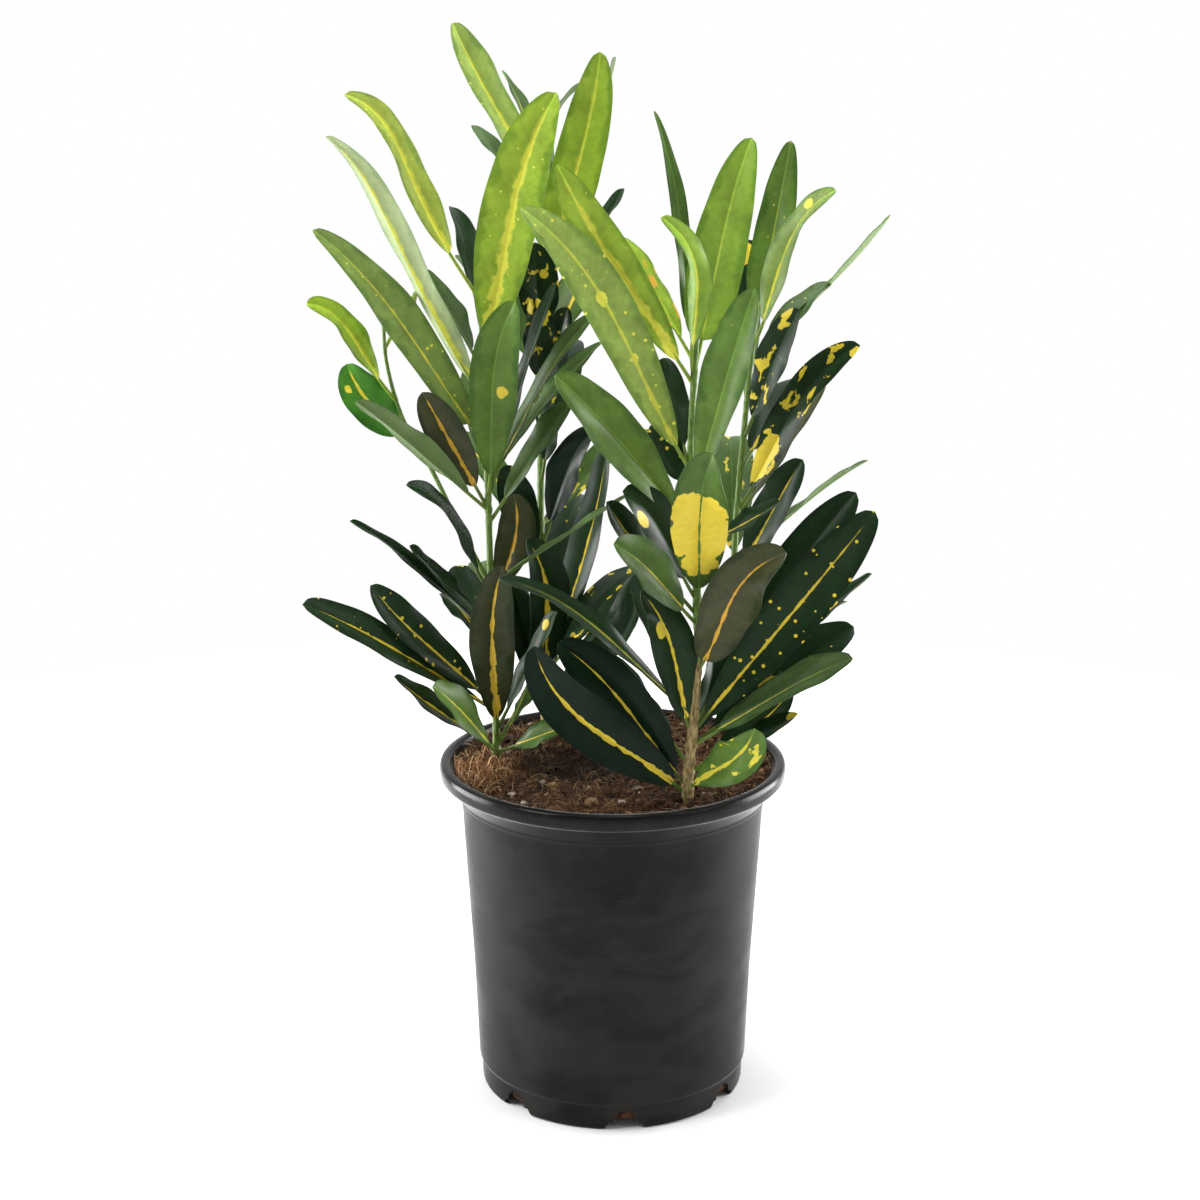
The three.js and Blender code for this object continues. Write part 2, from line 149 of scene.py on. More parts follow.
# Noises, as scale, detail and distortion. The scale is per mm on the plant, and per m elsewhere.
LEAF_CLOUD = (0.07, 3)
LEAF_SPECKLE = (0.3, 2)
LEAF_WANDER = (0.12, 1)
RIB_WANDER = (0.16, 2)
BLOTCHES = (0.16, 3, 0.4)
SHORE = (0.24, 4)
BARK_STREAK = (0.9, 4)
BARK_MOTTLE = (0.35, 4)
POT_MOTTLE = (60.0, 5)
POT_SMEAR = (30.0, 6, 0.6)
POT_GRAIN = (900.0, 2)
POT_SCRATCHES = (90.0, 3, 0.3)
SOIL_LUMPS = (110.0, 5)
SOIL_GRAIN = (620.0, 4)
FIBRE_THREAD = (500.0, 3)
FLOOR_CLOUD = (3.0, 2)

# Veins and marks of the leaves
VEIN_SLANT = 0.8
VEIN_RATE = 1.5
VEIN_WANDER = 4.0
VEIN_LIGHT = 0.07
RIB_LIGHT = 0.55
UNDERSIDE_SHARE = 0.4
RIB_SCALE = 1.15
RIB_END = 0.94
DOT_RATE = 0.2
DOT_RADIUS = 0.2
PATCH_STRETCH = 1.5
SHORE_SHARE = 0.4
NO_PATCH = -20.0

# Heights, in m, between which the pot's dust gets thinner, partly real and partly painted shade that leaves
# the wall under the lip darker
DUSTY_BELOW = 0.09
LIP_SHADE_ABOVE = 0.14

# The pot's profile, as radius and height, from under its floor round the outside to its floor inside
POT_HEIGHT = 163
FLOOR_HEIGHT = 3.5
FLOOR_TOP = 5
POT_PROFILE = [
    # Floor, foot and wall
    (0, FLOOR_HEIGHT), (60.2, FLOOR_HEIGHT), (60.6, 0), (62.4, 0), (63.5, 1.4), (63.8, 12.2),
    (65, 13.5), (66.9, 60), (71, 127), (71.6, 139), (72.4, 145),
    # Neck and rolled lip
    (73.4, 146.2), (73.3, 147.2), (76.2, 150.6), (79.8, 154.8), (81.6, 155.6), (82.2, 156.8),
    (82.5, 160), (81.9, 162.4), (80.4, POT_HEIGHT), (78.4, POT_HEIGHT), (77, 162),
    # Inside
    (74.6, 154.6), (70.4, 139), (65.7, 60), (63.8, 13.5), (62.3, FLOOR_TOP), (0, FLOOR_TOP),
]
CORNER_CUT = 0.9
POT_SEGMENTS = 192
LIP_FOOT_HEIGHT = 143

# Drain notches: low gaps between the feet, each with an arch above it, the first at an angle in degrees
NOTCH_COUNT = 7
FIRST_NOTCH_ANGLE = -85
ARCH_HALF_WIDTH = 5.7
ARCH_TOP = 10
ARCH_SEGMENTS = 14
GAP_TOP_HALF_WIDTH = 7.8
GAP_FOOT_HALF_WIDTH = 10.3
GAP_HEIGHT = 3.7
NOTCH_INNER_RADIUS = 56.5
NOTCH_OUTER_RADIUS = 76
CUT_MARGIN = 1

# Soil
SOIL_EDGE_RADIUS = 75.9
SOIL_EDGE_HEIGHT = 159.5
SOIL_RISE = 0.8
BROAD_MOUND_HEIGHT = 1.2
BROAD_MOUND_SCALE = 12
SMALL_MOUND_HEIGHT = 0.7
SMALL_MOUND_SCALE = 6
FLAT_RIM_SHARE = 0.33
CLUMP_HEIGHT = 1.5
CLUMP_SIZE = 9
GRAIN_HEIGHT = 0.8
GRAIN_SIZE = 2.6
HOLLOW_PLACE = (-14, -2)
HOLLOW_RADII = (36, 24)
HOLLOW_DEPTH = 5
SOIL_RINGS = 84
SOIL_SEGMENTS = 264
SOIL_WALL = [(62, 5.3), (63.5, 13.5), (65.4, 60), (70.1, 139), (74.3, 154.6)]

# Coir fibres and crumbs on the soil. An arch or a growth is the shape and scale of a gamma draw.
FIBRE_COUNT = 3000
FIBRE_POINTS = 9
FIBRE_SIDES = 4
FIBRE_REACH = 75.4
FIBRE_SEED = 7
FIBRE_LENGTHS = (4, 15)
FIBRE_RADII = (0.1, 0.25)
FIBRE_TURN = 1.8
FIBRE_WINDING = 0.9
WINDING_RATES = (3, 9)
FIBRE_ARCH = (1.5, 1.1)
FIBRE_LOOSE_END = 2
FIBRE_SINK = 0.1
TUFT_ARCH = 1.9
FIBRE_TINTS = [(0.07, 0.032, 0.014), (0.12, 0.06, 0.026), (0.24, 0.16, 0.08), (0.03, 0.014, 0.007)]
FIBRE_TINT_SHARES = (0.3, 0.33, 0.22, 0.15)
# How much painted shade darkens the fibres and crumbs in the hollow between the plants
HOLLOW_PAINTED_SHADE = 0.8
TUFT_PLACE = np.array([-61.0, -17.0])
TUFT_SPREAD = 8
TUFT_SHARE = 0.24
TUFT_TINT = 3.3
CRUMB_COUNT = 900
CRUMB_SEED = 11
CRUMB_LEAST_SIZE = 0.4
CRUMB_GROWTH = (2, 0.35)
CRUMB_RADII = np.array([0.35, 0.8, 0.9, 0.7, 0.3])
CRUMB_UNEVENNESS = (0.7, 1.2)
CRUMB_STRETCH = (0.9, 1.6)
CRUMB_TILT = 0.3
CRUMB_LIFT = 0.25
CRUMB_SIDES = 6
CRUMB_RELIEF = 0.18
CRUMB_TINTS = [(0.075, 0.035, 0.016), (0.035, 0.018, 0.009), (0.15, 0.085, 0.04), (0.34, 0.29, 0.22)]
CRUMB_TINT_SHARES = (0.42, 0.33, 0.2, 0.05)
TINT_RANGE = (0.75, 1.3)

# Leaves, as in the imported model
PETIOLE_RADIUS = 0.85
TAPER = 0.45
BEND_SCALE = 6.75
TIP_BEND_SCALE = 12.2
WAVE_HEIGHT = 0.9
WAVES_PER_LEAF = 1.5
UP_SHARE = 0.6
FACING_SHARE = 0.8

# Leaves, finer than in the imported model. A margin's unevenness is shares of the half width, each with how
# often it swings along the blade.
TIP_HALF_WIDTH = 0.2
FOLD = 0.28
UNEVENNESS = [(0.02, 1.7), (0.008, 4.1)]
RIPPLE_HEIGHT = 0.35
RIPPLES_PER_LEAF = 3.3
CAMBER = 0.05
MIDRIB_THICKNESS = 0.6
MARGIN_THICKNESS = 0.3
MIDRIB_REACH = 0.75
GROOVE_DEPTH = 0.14
KEEL_AT_BASE = 1.0
KEEL_AT_TIP = 0.25
PETIOLE_POINTS = 10
PETIOLE_SIDES = 8
PETIOLE_UNDER_BLADE = 0.12
PETIOLE_AT_STEM = 1.15
PETIOLE_NARROWING = 0.3
PETIOLE_END_NARROWING = 0.65
PETIOLE_DROP = 0.35
PETIOLE_END_DROP = 0.25
PETIOLE_OFF_RIB = 3.0
BLADE_STATIONS = 44
STATIONS_TO_ENDS = 0.35
BLADE_COLUMNS = np.array([-1, -0.95, -0.8, -0.6, -0.4, -0.22, -0.08, 0, 0.08, 0.22, 0.4, 0.6, 0.8, 0.95, 1])
LEAF_SEED_STEP = 61.7
NUMBERS_PER_SHOOT = 40

# Stems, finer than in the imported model
STEM_RINGS = 170
STEM_SIDES = 20
SWELLING = 0.16
SWELLING_HEIGHT = 1.3
BARK_FADE = (-12, 4)
BARK_RELIEF = 0.2
GREEN_RELIEF_SHARE = 0.25
BARK_RIDGES = 3
BARK_RIDGE_RATE = 0.35
BARK_WIDTH = 2.2
STEM_SEED = 40.0

# Shading breaks at edges sharper than this, in degrees
SHARP_ANGLE = 50

# A direction that no stem, petiole or fibre runs along
OFF_TUBE = [0.31, 0.95, 0.05]

# The bake layout's cells, and how much of its cell a leaf, a blade, one of its faces or a small bit fills
WHOLE_CELL = (0.02, 0.02, 0.96, 0.96)
LEAF_SHARE = 0.94
BLADE_SHARE = 0.9
PETIOLE_SHARE = 0.07
FACE_SHARE = 0.47
BIT_SHARE = 0.8

# Studio, in m, W and degrees. A lamp is its place, its width and its power.
FLOOR_RADIUS = 0.8
FLOOR_SEGMENTS = 128
LAMP_AIM = Vector((0, 0, 0.25))
LAMPS = {
    "key_lamp": ((-1.1, -0.6, 1.5), 0.5, 15),
    "fill_lamp": ((1.2, -0.6, 1.3), 0.8, 5),
    "top_lamp": ((0.1, 0.2, 1.9), 1.0, 26),
    "left_rim_lamp": ((-1.2, 0.3, 0.3), 0.8, 32),
    "right_rim_lamp": ((1.2, 0.45, 0.3), 0.8, 30),
}
CAMERA_PLACE = (-0.006, -1.131, 0.548)
CAMERA_DIP = 15.2
CAMERA_LENS = 75
CAMERA_SENSOR = 36

# Stems and leaves
STEM_FOOT = 140.5
LEFT_STEM = Stem(
    [(-55, -4, STEM_FOOT), (-55, -4, 166), (-57, -4, 253), (-58, -3, 305), (-60, -3, 386)], (1.9, 1.2), 170
)
SLENDER_SIDE_STEM = Stem(
    [(-57, -4, 248), (-73, 2, 279), (-84, 4, 302), (-97, 5, 326), (-104, 6, 352), (-105, 4, 370)],
    (1.2, 0.8), 0
)
TALL_STEM = Stem([(-33, 30, STEM_FOOT), (-33, 30, 166), (-34, 30, 306), (-28, 30, 430)], (2.3, 1.2), 220)
FRONT_STEM = Stem(
    [(34, -54, STEM_FOOT), (34, -54, 166), (38, -54, 234), (34, -52, 317), (36, -50, 374)], (2.7, 1.3), 232
)
BACK_STEM = Stem([(58, 20, STEM_FOOT), (58, 20, 166), (58, 20, 264), (66, 24, 370)], (2.2, 1.2), 260)

LEFT_LEAVES = [
    Leaf(357, -25, -12, 475, 28, 5, 1, -95, YOUNG, petiole=10, widest=1.05, rib=2.4, dots=0.35),
    Leaf(382, -117, -25, 475, 17, 0, 0, -50, LIME, petiole=27, widest=0.9, hook=7.5, rib=1.4, dots=0.35),
    Leaf(335, -131, 25, 453, 18, 1, 0, 60, PALE, widest=0.9, hook=5, rib=1.2),
    Leaf(315, -132, -30, 417, 21, 5, 0, -65, MOSS, widest=0.8, rib=0.5, dots=0.4),
    Leaf(290, -43, -40, 387, 22, 2, 5, -80, LEAF_GREEN, patches=[(0.49, 0.4, 2.5)]),
    Leaf(369, -75, 35, 420, 18, 2, 2, -30, DARK),
    Leaf(350, -88, 35, 391, 15, -3, 3, -35, GREY, dots=0.3),
    Leaf(285, -86, -20, 343, 18, 0, 0, -105, BRONZE, rib=0.9),
    Leaf(246, -92, -45, 306, 11, 7, -1, -35, DARK),
    Leaf(225, -119, -30, 286, 10, 2.5, 0, -15, DARK),
    Leaf(230, -93, -20, 272, 11, -1, 0, -20, DARK),
    Leaf(222, -74, 40, 247, 17, -1, -2, -80, DARK, dots=0.6),
    Leaf(215, -82, 30, 236, 14, 1, 1, -50, DARK, rib=0.7),
    Leaf(188, -138, -60, 255, 18, 2, 0, -40, DARK, petiole=8, widest=1.8, rib=0.6, dots=0.35),
    Leaf(190, -110, -35, 257, 18, -2, 0, -65, DARK, rib=0.6, dots=0.6),
    Leaf(168, -101, -25, 211, 15, -1.5, 0, -15, DARK, rib=0.7, dots=0.2),
    Leaf(167, -82, -45, 212, 18, 1, -1, -50, SAGE, petiole=10, widest=1.4, rib=0.5),
    Leaf(235, -47, 20, 287, 18, -2, 4, -80, BRONZE, rib=0.8),
    Leaf(172, -50, -35, 266, 21, 0, 4, -85, BROWN_GREEN, rib=1.35),
    Leaf(168, -38, -10, 209, 12, -1, 0, -25, GREY, rib=0.5),
    Leaf(167, -21, -35, 190, 14, 0, 0, -160, MID, rib=0.4),
    Leaf(297, -6, -5, 378, 15, 4, 0, -155, GREY, rib=0.3),
    Leaf(301, -5, 10, 361, 15, 2, 1, -155, GREY),
    Leaf(285, -115, -30, 341, 18, 1, 0, 60, MID),
    Leaf(300, -66, 78, 338, 20, 6, 0, -80, MID),
    Leaf(210, -66, 82, 238, 20, 6, 0, -85, MID, rib=0.6, blotch=0.3),
    Leaf(292, -26, -12, 391, 13, 1, 0, -150, DARK),
    Leaf(279, -18, 2, 336, 16, 1, 0, -140, GREY),
    Leaf(250, 8, -34, 300, 7, 0, 0, 160, GREY),
    Leaf(178, -26, -22, 241, 14, 0, 0, -150, DARK, patches=[(0.84, -0.4, 2)]),
]
SLENDER_SIDE_LEAVES = [
    Leaf(335, -137, -20, 383, 15, 4, 0, -50, YOUNG, hook=2, rib=0.8),
    Leaf(309, -123, 15, 350, 20, -3, -2, -110, EMERALD, widest=1, rib=1.1, dots=0.2,
         patches=[(0.75, -0.5, 1.5)]),
    Leaf(358, -91, 20, 383, 8, 0, 0, 25, LIME),
]
TALL_LEAVES = [
    Leaf(421, -72, 15, 504, 20, -1.5, 0, -55, OLIVE, rib=1, dots=0.3),
    Leaf(388, -6, 20, 491, 23, -2, -1, -85, YOUNG, widest=0.8, rib=0.8, dots=0.3),
    Leaf(424, 1, 55, 487, 12, -2, 2, 165, GREY),
    Leaf(417, -12, 60, 475, 10, 6, -8, 160, GREY),
    Leaf(426, -52, 70, 480, 11, 0, 2, -15, GREY, rib=0.3),
    Leaf(412, -66, 65, 455, 15, 0, 0, -30, GREY),
    Leaf(377, 5, 60, 426, 15, -1, 1, -155, DARK),
    Leaf(354, -35, -2, 408, 20, 0, 1, -85, DARK, blotch=0.5, patches=[(0.64, 0.35, 2)]),
    Leaf(330, -38, 0, 382, 16, 1, -2, -85, DARK, blotch=0.6, patches=[(0.9, 0.8, 2.5), (0.8, 0.85, 2)]),
    Leaf(260, -9, 10, 320, 18, 3.5, 1, -110, DEEP),
    Leaf(187, -3, 0, 313, 20, -2, -2, -130, DARK, rib=0.7),
    Leaf(187, -40, -5, 271, 22, 2, -6, -70, DARK, rib=1.4),
    Leaf(182, 11, 40, 242, 16, -6, 0, -140, DARK, rib=0.4),
    Leaf(180, 11, 10, 242, 20, -8, 0, -135, DARK, dots=0.2),
    Leaf(390, -40, 100, 450, 18, 5, 0, -90, FRESH, rib=0.5),
    Leaf(350, 0, 105, 392, 20, 6, 0, -110, MID, rib=0.8, dots=0.4),
    Leaf(340, -75, 95, 390, 20, 6, 0, -60, MID),
    Leaf(300, -20, 116, 345, 22, 8, 0, -90, DARK, rib=0.8),
    Leaf(270, 20, 92, 303, 20, 6, 0, -130, MID, blotch=0.4),
    Leaf(260, -85, 98, 300, 22, 8, 0, -50, MID, rib=0.7),
    Leaf(225, -15, 116, 265, 22, 8, 0, -95, DARK, dots=0.4),
    Leaf(205, -68, 88, 235, 20, 5, 0, -60, DARK, rib=1),
    Leaf(195, 15, 85, 235, 18, 4, 0, -120, DARK, blotch=0.4),
    Leaf(245, -51, 24, 300, 18, 0, 0, -90, DARK, patches=[(0.9, 0.65, 2)]),
    Leaf(180, -47, 8, 246, 16, 0, 0, -90, DARK),
    Leaf(325, -21, 10, 377, 15, 0, 0, -100, DARK, dots=0.5),
    Leaf(290, -26, 8, 332, 12, 2, 0, -100, DARK),
]
FRONT_LEAVES = [
    Leaf(358, 60, -30, 457, 24, 1, -2, -90, FRESH, widest=0.7, rib=0.2, dots=0.15),
    Leaf(352, -24, -70, 449, 19, -2, 0, -100, YOUNG, rib=1.8, dots=0.25),
    Leaf(314, -39, -80, 432, 22, 8, -2, -95, OLIVE, rib=0.6, dots=0.4,
         patches=[(0.59, -0.05, 2.6), (0.35, 0.05, 1.6)]),
    Leaf(366, 18, -10, 467, 9, 1, 3, -60, MID, widest=0.45),
    Leaf(356, 20, -60, 426, 15, 8, -6, -50, FRESH, rib=0.5),
    Leaf(362, 3, -15, 412, 14, 0, 1, -40, YOUNG, blotch=0.5, warm=1),
    Leaf(300, 59, -85, 399, 23, -2, 3, -115, SAGE, rib=0.12, dots=0.2),
    Leaf(252, 41, -116, 335, 25, 1, 3, -90, MID, rib=-0.55,
         patches=[(0.45, 0.3, 11), (0.45, -0.3, 11), (0.24, 0, 8), (0.6, 0.4, 7), (0.6, -0.4, 7)]),
    Leaf(287, -25, -90, 363, 23, 2, 0, -85, LEAF_GREEN),
    Leaf(255, 4, -75, 310, 21, 4, -1, -70, DARK, patches=[(0.74, -0.6, 3)]),
    Leaf(248, -3, -70, 304, 18, -2, 0, -45, DARK, rib=0.6),
    Leaf(244, 0, -90, 290, 22, 2, -1, -70, MID, rib=0.3),
    Leaf(222, 74, -90, 286, 26, 6, 5, -70, BRONZE, petiole=8, widest=1, rib=0.75),
    Leaf(278, 73, -60, 302, 14, -1, 0, -165, DARK, rib=0.4),
    Leaf(191, 12, -65, 262, 21, 5, 0, -75, DARK, petiole=10, widest=1.1, rib=0.9,
         patches=[(0.69, -0.25, 3)]),
    Leaf(180, 45, -30, 230, 14, -1, 3, -35, DARK),
    Leaf(202, -50, -80, 272, 13, 7, 0, -25, DARK, rib=0.3, dots=0.2, warm=-0.8),
    Leaf(163, -35, -75, 240, 25, -9, 0, -110, DEEP, petiole=10, widest=1.1, rib=1.15),
    Leaf(167, -25, -50, 234, 25, 4, 0, -110, DEEP, petiole=10, widest=1.1, rib=0.6),
    Leaf(166, 62, -85, 205, 21, -4, 0, -70, SAGE, petiole=6, widest=1.6, rib=1, blotch=0.3),
    Leaf(193, 116, -50, 295, 25, -0.5, 0, -75, DARK, petiole=10, rib=0.7, dots=0.5),
    Leaf(196, 110, -25, 298, 24, 1, -3, -75, DARK),
    Leaf(187, 109, -40, 239, 24, 1, -1, -110, DARK, dots=0.5, patches=[(0.39, 0.15, 5)]),
    Leaf(187, 107, -60, 230, 20, 1.5, -1, -155, GREY, rib=0.3),
    Leaf(175, 83, -60, 204, 12, 0, 1, -160, DARK, patches=[(0.95, 0, 2.5)]),
    Leaf(173, 82, -30, 206, 15, -2, 2, -115, DARK, rib=0.6),
    Leaf(178, -3, -30, 223, 15, 0, 0, -30, DARK),
    Leaf(205, 10, -28, 261, 16, 0, 0, -70, DARK),
    Leaf(312, 22, -28, 360, 14, 0, 0, -100, DARK, patches=[(0.6, -0.7, 3)]),
    Leaf(297, 18, -40, 333, 15, 0, 0, -80, DARK, dots=0.4),
]
BACK_LEAVES = [
    Leaf(360, 83, 50, 449, 18, -2, -1, -95, LEAF_GREEN, widest=0.7, rib=0.2, dots=0.3),
    Leaf(357, 99, -10, 432, 17, 9, 0, -135, MOSS, widest=0.9, rib=0.5, dots=0.2, patches=[(0.8, -0.4, 2)]),
    Leaf(350, 136, 100, 409, 10, -1, 2, 170, SAGE),
    Leaf(341, 104, 60, 381, 16, 2.5, -2.5, -140, GREY, dots=0.4),
    Leaf(313, 84, -10, 379, 18, 1, 1, -115, DARK, blotch=0.5),
    Leaf(360, 64, 50, 403, 16, 0, -2, -110, DARK, patches=[(0.81, -0.15, 4)]),
    Leaf(279, 112, -5, 362, 19, 7, 2, -120, DARK, blotch=0.5, patches=[(0.13, -0.5, 6), (0.25, 0, 5)]),
    Leaf(274, 100, 30, 340, 18, 0, 1, -150, BRONZE),
    Leaf(255, 124, 60, 295, 10, 1, -2, 175, MID),
    Leaf(243, 87, -5, 309, 20, -1, 3, -115, DARK, rib=0.7),
    Leaf(210, 122, 10, 251, 16, -3, 2, -170, DARK, patches=[(0.62, 0.6, 3)]),
    Leaf(330, 60, 108, 385, 20, 5, 0, -90, MID, rib=0.5),
    Leaf(300, 98, 95, 328, 20, 6, 0, -120, DARK, rib=0.9),
    Leaf(250, 60, 116, 295, 22, 8, 0, -90, MID, blotch=0.4),
    Leaf(215, 105, 75, 235, 20, 6, 0, -130, DARK, rib=0.8),
    Leaf(205, 75, 105, 240, 20, 5, 0, -100, DARK, dots=0.4),
    Leaf(190, 115, 55, 225, 18, 4, 0, -150, DARK, rib=0.6),
]

# Each shoot's stems with their leaves
SHOOTS = {
    "left_shoot": {
        "left_stem": (LEFT_STEM, LEFT_LEAVES),
        "slender_stem": (SLENDER_SIDE_STEM, SLENDER_SIDE_LEAVES),
    },
    "tall_shoot": {"tall_stem": (TALL_STEM, TALL_LEAVES)},
    "front_shoot": {"front_stem": (FRONT_STEM, FRONT_LEAVES)},
    "back_shoot": {"back_stem": (BACK_STEM, BACK_LEAVES)},
}


def unit(vectors):
    return vectors / np.linalg.norm(vectors, axis=-1, keepdims=True)


def smooth_step(values, low, high):
    share = np.clip((values - low) / (high - low), 0, 1)
    return share * share * (3 - 2 * share)


class MeshParts:
    """Gathers grids of points, in mm, into one mesh with attributes and a bake layout."""

    def __init__(self):
        self.points = []
        self.quads = []
        self.layouts = []
        self.attributes = {}
        self.count = 0

    def add(self, points, quads, layout, **attributes):
        """Adds points (n, 3), quads (m, 4) of their numbers, and the layout (m, 4, 2) of the quads.

        An attribute has a value for each point (n, ...) or one for all (1, ...).
        """
        self.points.append(points)
        self.quads.append(quads + self.count)
        self.layouts.append(layout)
        for name, values in attributes.items():
            values = np.broadcast_to(values, (len(points),) + np.shape(values)[1:])
            self.attributes.setdefault(name, []).append(values)
        self.count += len(points)

    def build(self, name, material, slot, *nodes):
        mesh = bpy.data.meshes.new(name)
        points = np.concatenate(self.points) * MM
        quads = np.concatenate(self.quads)
        mesh.from_pydata(points.tolist(), [], quads.tolist())
        for key, chunks in self.attributes.items():
            values = np.concatenate(chunks)
            kind, field = ("FLOAT", "value") if values.ndim == 1 else ("FLOAT_VECTOR", "vector")
            attribute = mesh.attributes.new(key, kind, "POINT")
            attribute.data.foreach_set(field, values.astype(np.float32).ravel())
        layer = mesh.uv_layers.new(name="OFBake")
        layer.data.foreach_set("uv", np.concatenate(self.layouts).astype(np.float32).ravel())
        piece(name, mesh, material, slot, *nodes)


def piece(name, mesh, material, slot, *nodes):
    """Makes a smooth-shaded object of a mesh, hangs it on the root body, and hides the imported parts that
    it stands for.
    """
    mesh.materials.append(material)
    mesh.shade_smooth()
    mesh.set_sharp_from_angle(angle=math.radians(SHARP_ANGLE))
    made = bpy.data.objects.new(name, mesh)
    bpy.context.collection.objects.link(made)
    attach(made, "root")
    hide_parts(*nodes)


def grid_quads(rows, columns, wrap=False):
    """Quads of a grid of points that is numbered row by row, facing along column step x row step."""
    row = np.arange(rows - 1)[:, None] * columns
    column = np.arange(columns if wrap else columns - 1)[None, :]
    after = (column + 1) % columns
    quads = np.stack([row + column, row + after, row + columns + after, row + columns + column], -1)
    return quads.reshape(-1, 4)


def grid_layout(rows, columns, cell):
    """The layout of such a grid's quads, spread over a cell (left, bottom, width, height)."""
    left, bottom, width, height = cell
    row, column = np.mgrid[:rows - 1, :columns - 1]
    u0 = left + width * (column / (columns - 1))
    u1 = u0 + width / (columns - 1)
    v0 = bottom + height * (row / (rows - 1))
    v1 = v0 + height / (rows - 1)
    corners = [(u0, v0), (u1, v0), (u1, v1), (u0, v1)]
    return np.stack([np.stack(corner, -1) for corner in corners], -2).reshape(-1, 4, 2)


def bake_cell(number, across, share):
    """The cell with a number in a layout of so many cells across and down, of which it fills a share."""
    size = 1 / across
    left = (number % across + (1 - share) / 2) * size
    bottom = (number // across + (1 - share) / 2) * size
    return left, bottom, size * share, size * share


def rim_quads(rows, columns, cell):
    """Quads that join two faces all round their margin, and their layout on the margin of a cell."""
    count = rows * columns
    first = np.arange(rows) * columns
    last = first + columns - 1
    tip = np.arange(columns) + count - columns
    base = np.arange(columns)
    margins = [(last[:-1], last[1:]), (first[1:], first[:-1]), (tip[1:], tip[:-1]), (base[:-1], base[1:])]
    quads = []
    layouts = []
    left, bottom, width, height = cell
    for here, there in margins:
        quads.append(np.stack([here, here + count, there + count, there], -1))
        corners = []
        for n in (here, there):
            u = left + width * (n % columns) / (columns - 1)
            v = bottom + height * (n // columns) / (rows - 1)
            corners += [np.stack([u, v], -1)] * 2
        layouts.append(np.stack(corners, -2))
    return np.concatenate(quads), np.concatenate(layouts)


def add_tube(parts, centres, radii, sides, cell, relief=0, **attributes):
    """A round tube along centres (n, 3) with a radius at each, and both ends closed to a point."""
    tangents = unit(np.gradient(centres, axis=0))
    first = unit(np.cross(tangents, OFF_TUBE))
    second = np.cross(tangents, first)
    angles = np.arange(sides) * 2 * math.pi / sides
    around = first[:, None] * np.cos(angles)[:, None] + second[:, None] * np.sin(angles)[:, None]
    rings = centres[:, None] + around * (radii[:, None] + relief)[..., None]
    foot = np.repeat(centres[:1, None], sides, axis=1)
    top = np.repeat(centres[-1:, None], sides, axis=1)
    rings = np.concatenate([foot, rings, top])
    rows = len(rings)
    spread = {}
    for name, values in attributes.items():
        values = np.asarray(values, float)
        if values.ndim > 1 and values.shape[:2] == (len(centres), sides):
            values = np.concatenate([values[:1], values, values[-1:]])
            values = values.reshape((rows * sides,) + values.shape[2:])
        spread[name] = values
    parts.add(
        rings.reshape(-1, 3),
        grid_quads(rows, sides, wrap=True),
        grid_layout(rows, sides + 1, cell),
        **spread,
    )


def stem_point(stem, share):
    """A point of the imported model's stem curve, a centripetal Catmull-Rom through the stem's points."""
    points = np.array(stem.points, float)
    place = share * (len(points) - 1)
    span = min(int(place), len(points) - 2)
    t = place - span
    p1, p2 = points[span], points[span + 1]
    p0 = points[span - 1] if span > 0 else 2 * p1 - p2
    p3 = points[span + 2] if span + 2 < len(points) else 2 * p2 - p1
    before, here, after = (math.sqrt(np.linalg.norm(b - a)) for a, b in ((p0, p1), (p1, p2), (p2, p3)))
    m1 = here * ((p1 - p0) / before - (p2 - p0) / (before + here) + (p2 - p1) / here)
    m2 = here * ((p2 - p1) / here - (p3 - p1) / (here + after) + (p3 - p2) / after)
    bend = 3 * (p2 - p1) - 2 * m1 - m2
    return p1 + t * (m1 + t * (bend + t * (2 * (p1 - p2) + m1 + m2)))


def stem_point_at(stem, height):
    """The middle of a stem at a height."""
    low, high = 0.0, 1.0
    for _ in range(20):
        middle = (low + high) / 2
        if stem_point(stem, middle)[2] < height:
            low = middle
        else:
            high = middle
    return stem_point(stem, low)


def blade_shape(along, widest):
    """A blade's width, as a share of its widest, at a place from 0 at its base to 1 at its tip."""
    return np.maximum(0, np.sin(math.pi * np.minimum(1, along) ** widest)) ** TAPER


def bend(share):
    """How much of its bow and sweep a leaf has at a share of its length: all of it two thirds up."""
    return BEND_SCALE * share ** 2 * (1 - share)


def tip_bend(share):
    """How much of its hook a leaf has: all of it four fifths up, from where a long blade hangs over."""
    return TIP_BEND_SCALE * share ** 4 * (1 - share)


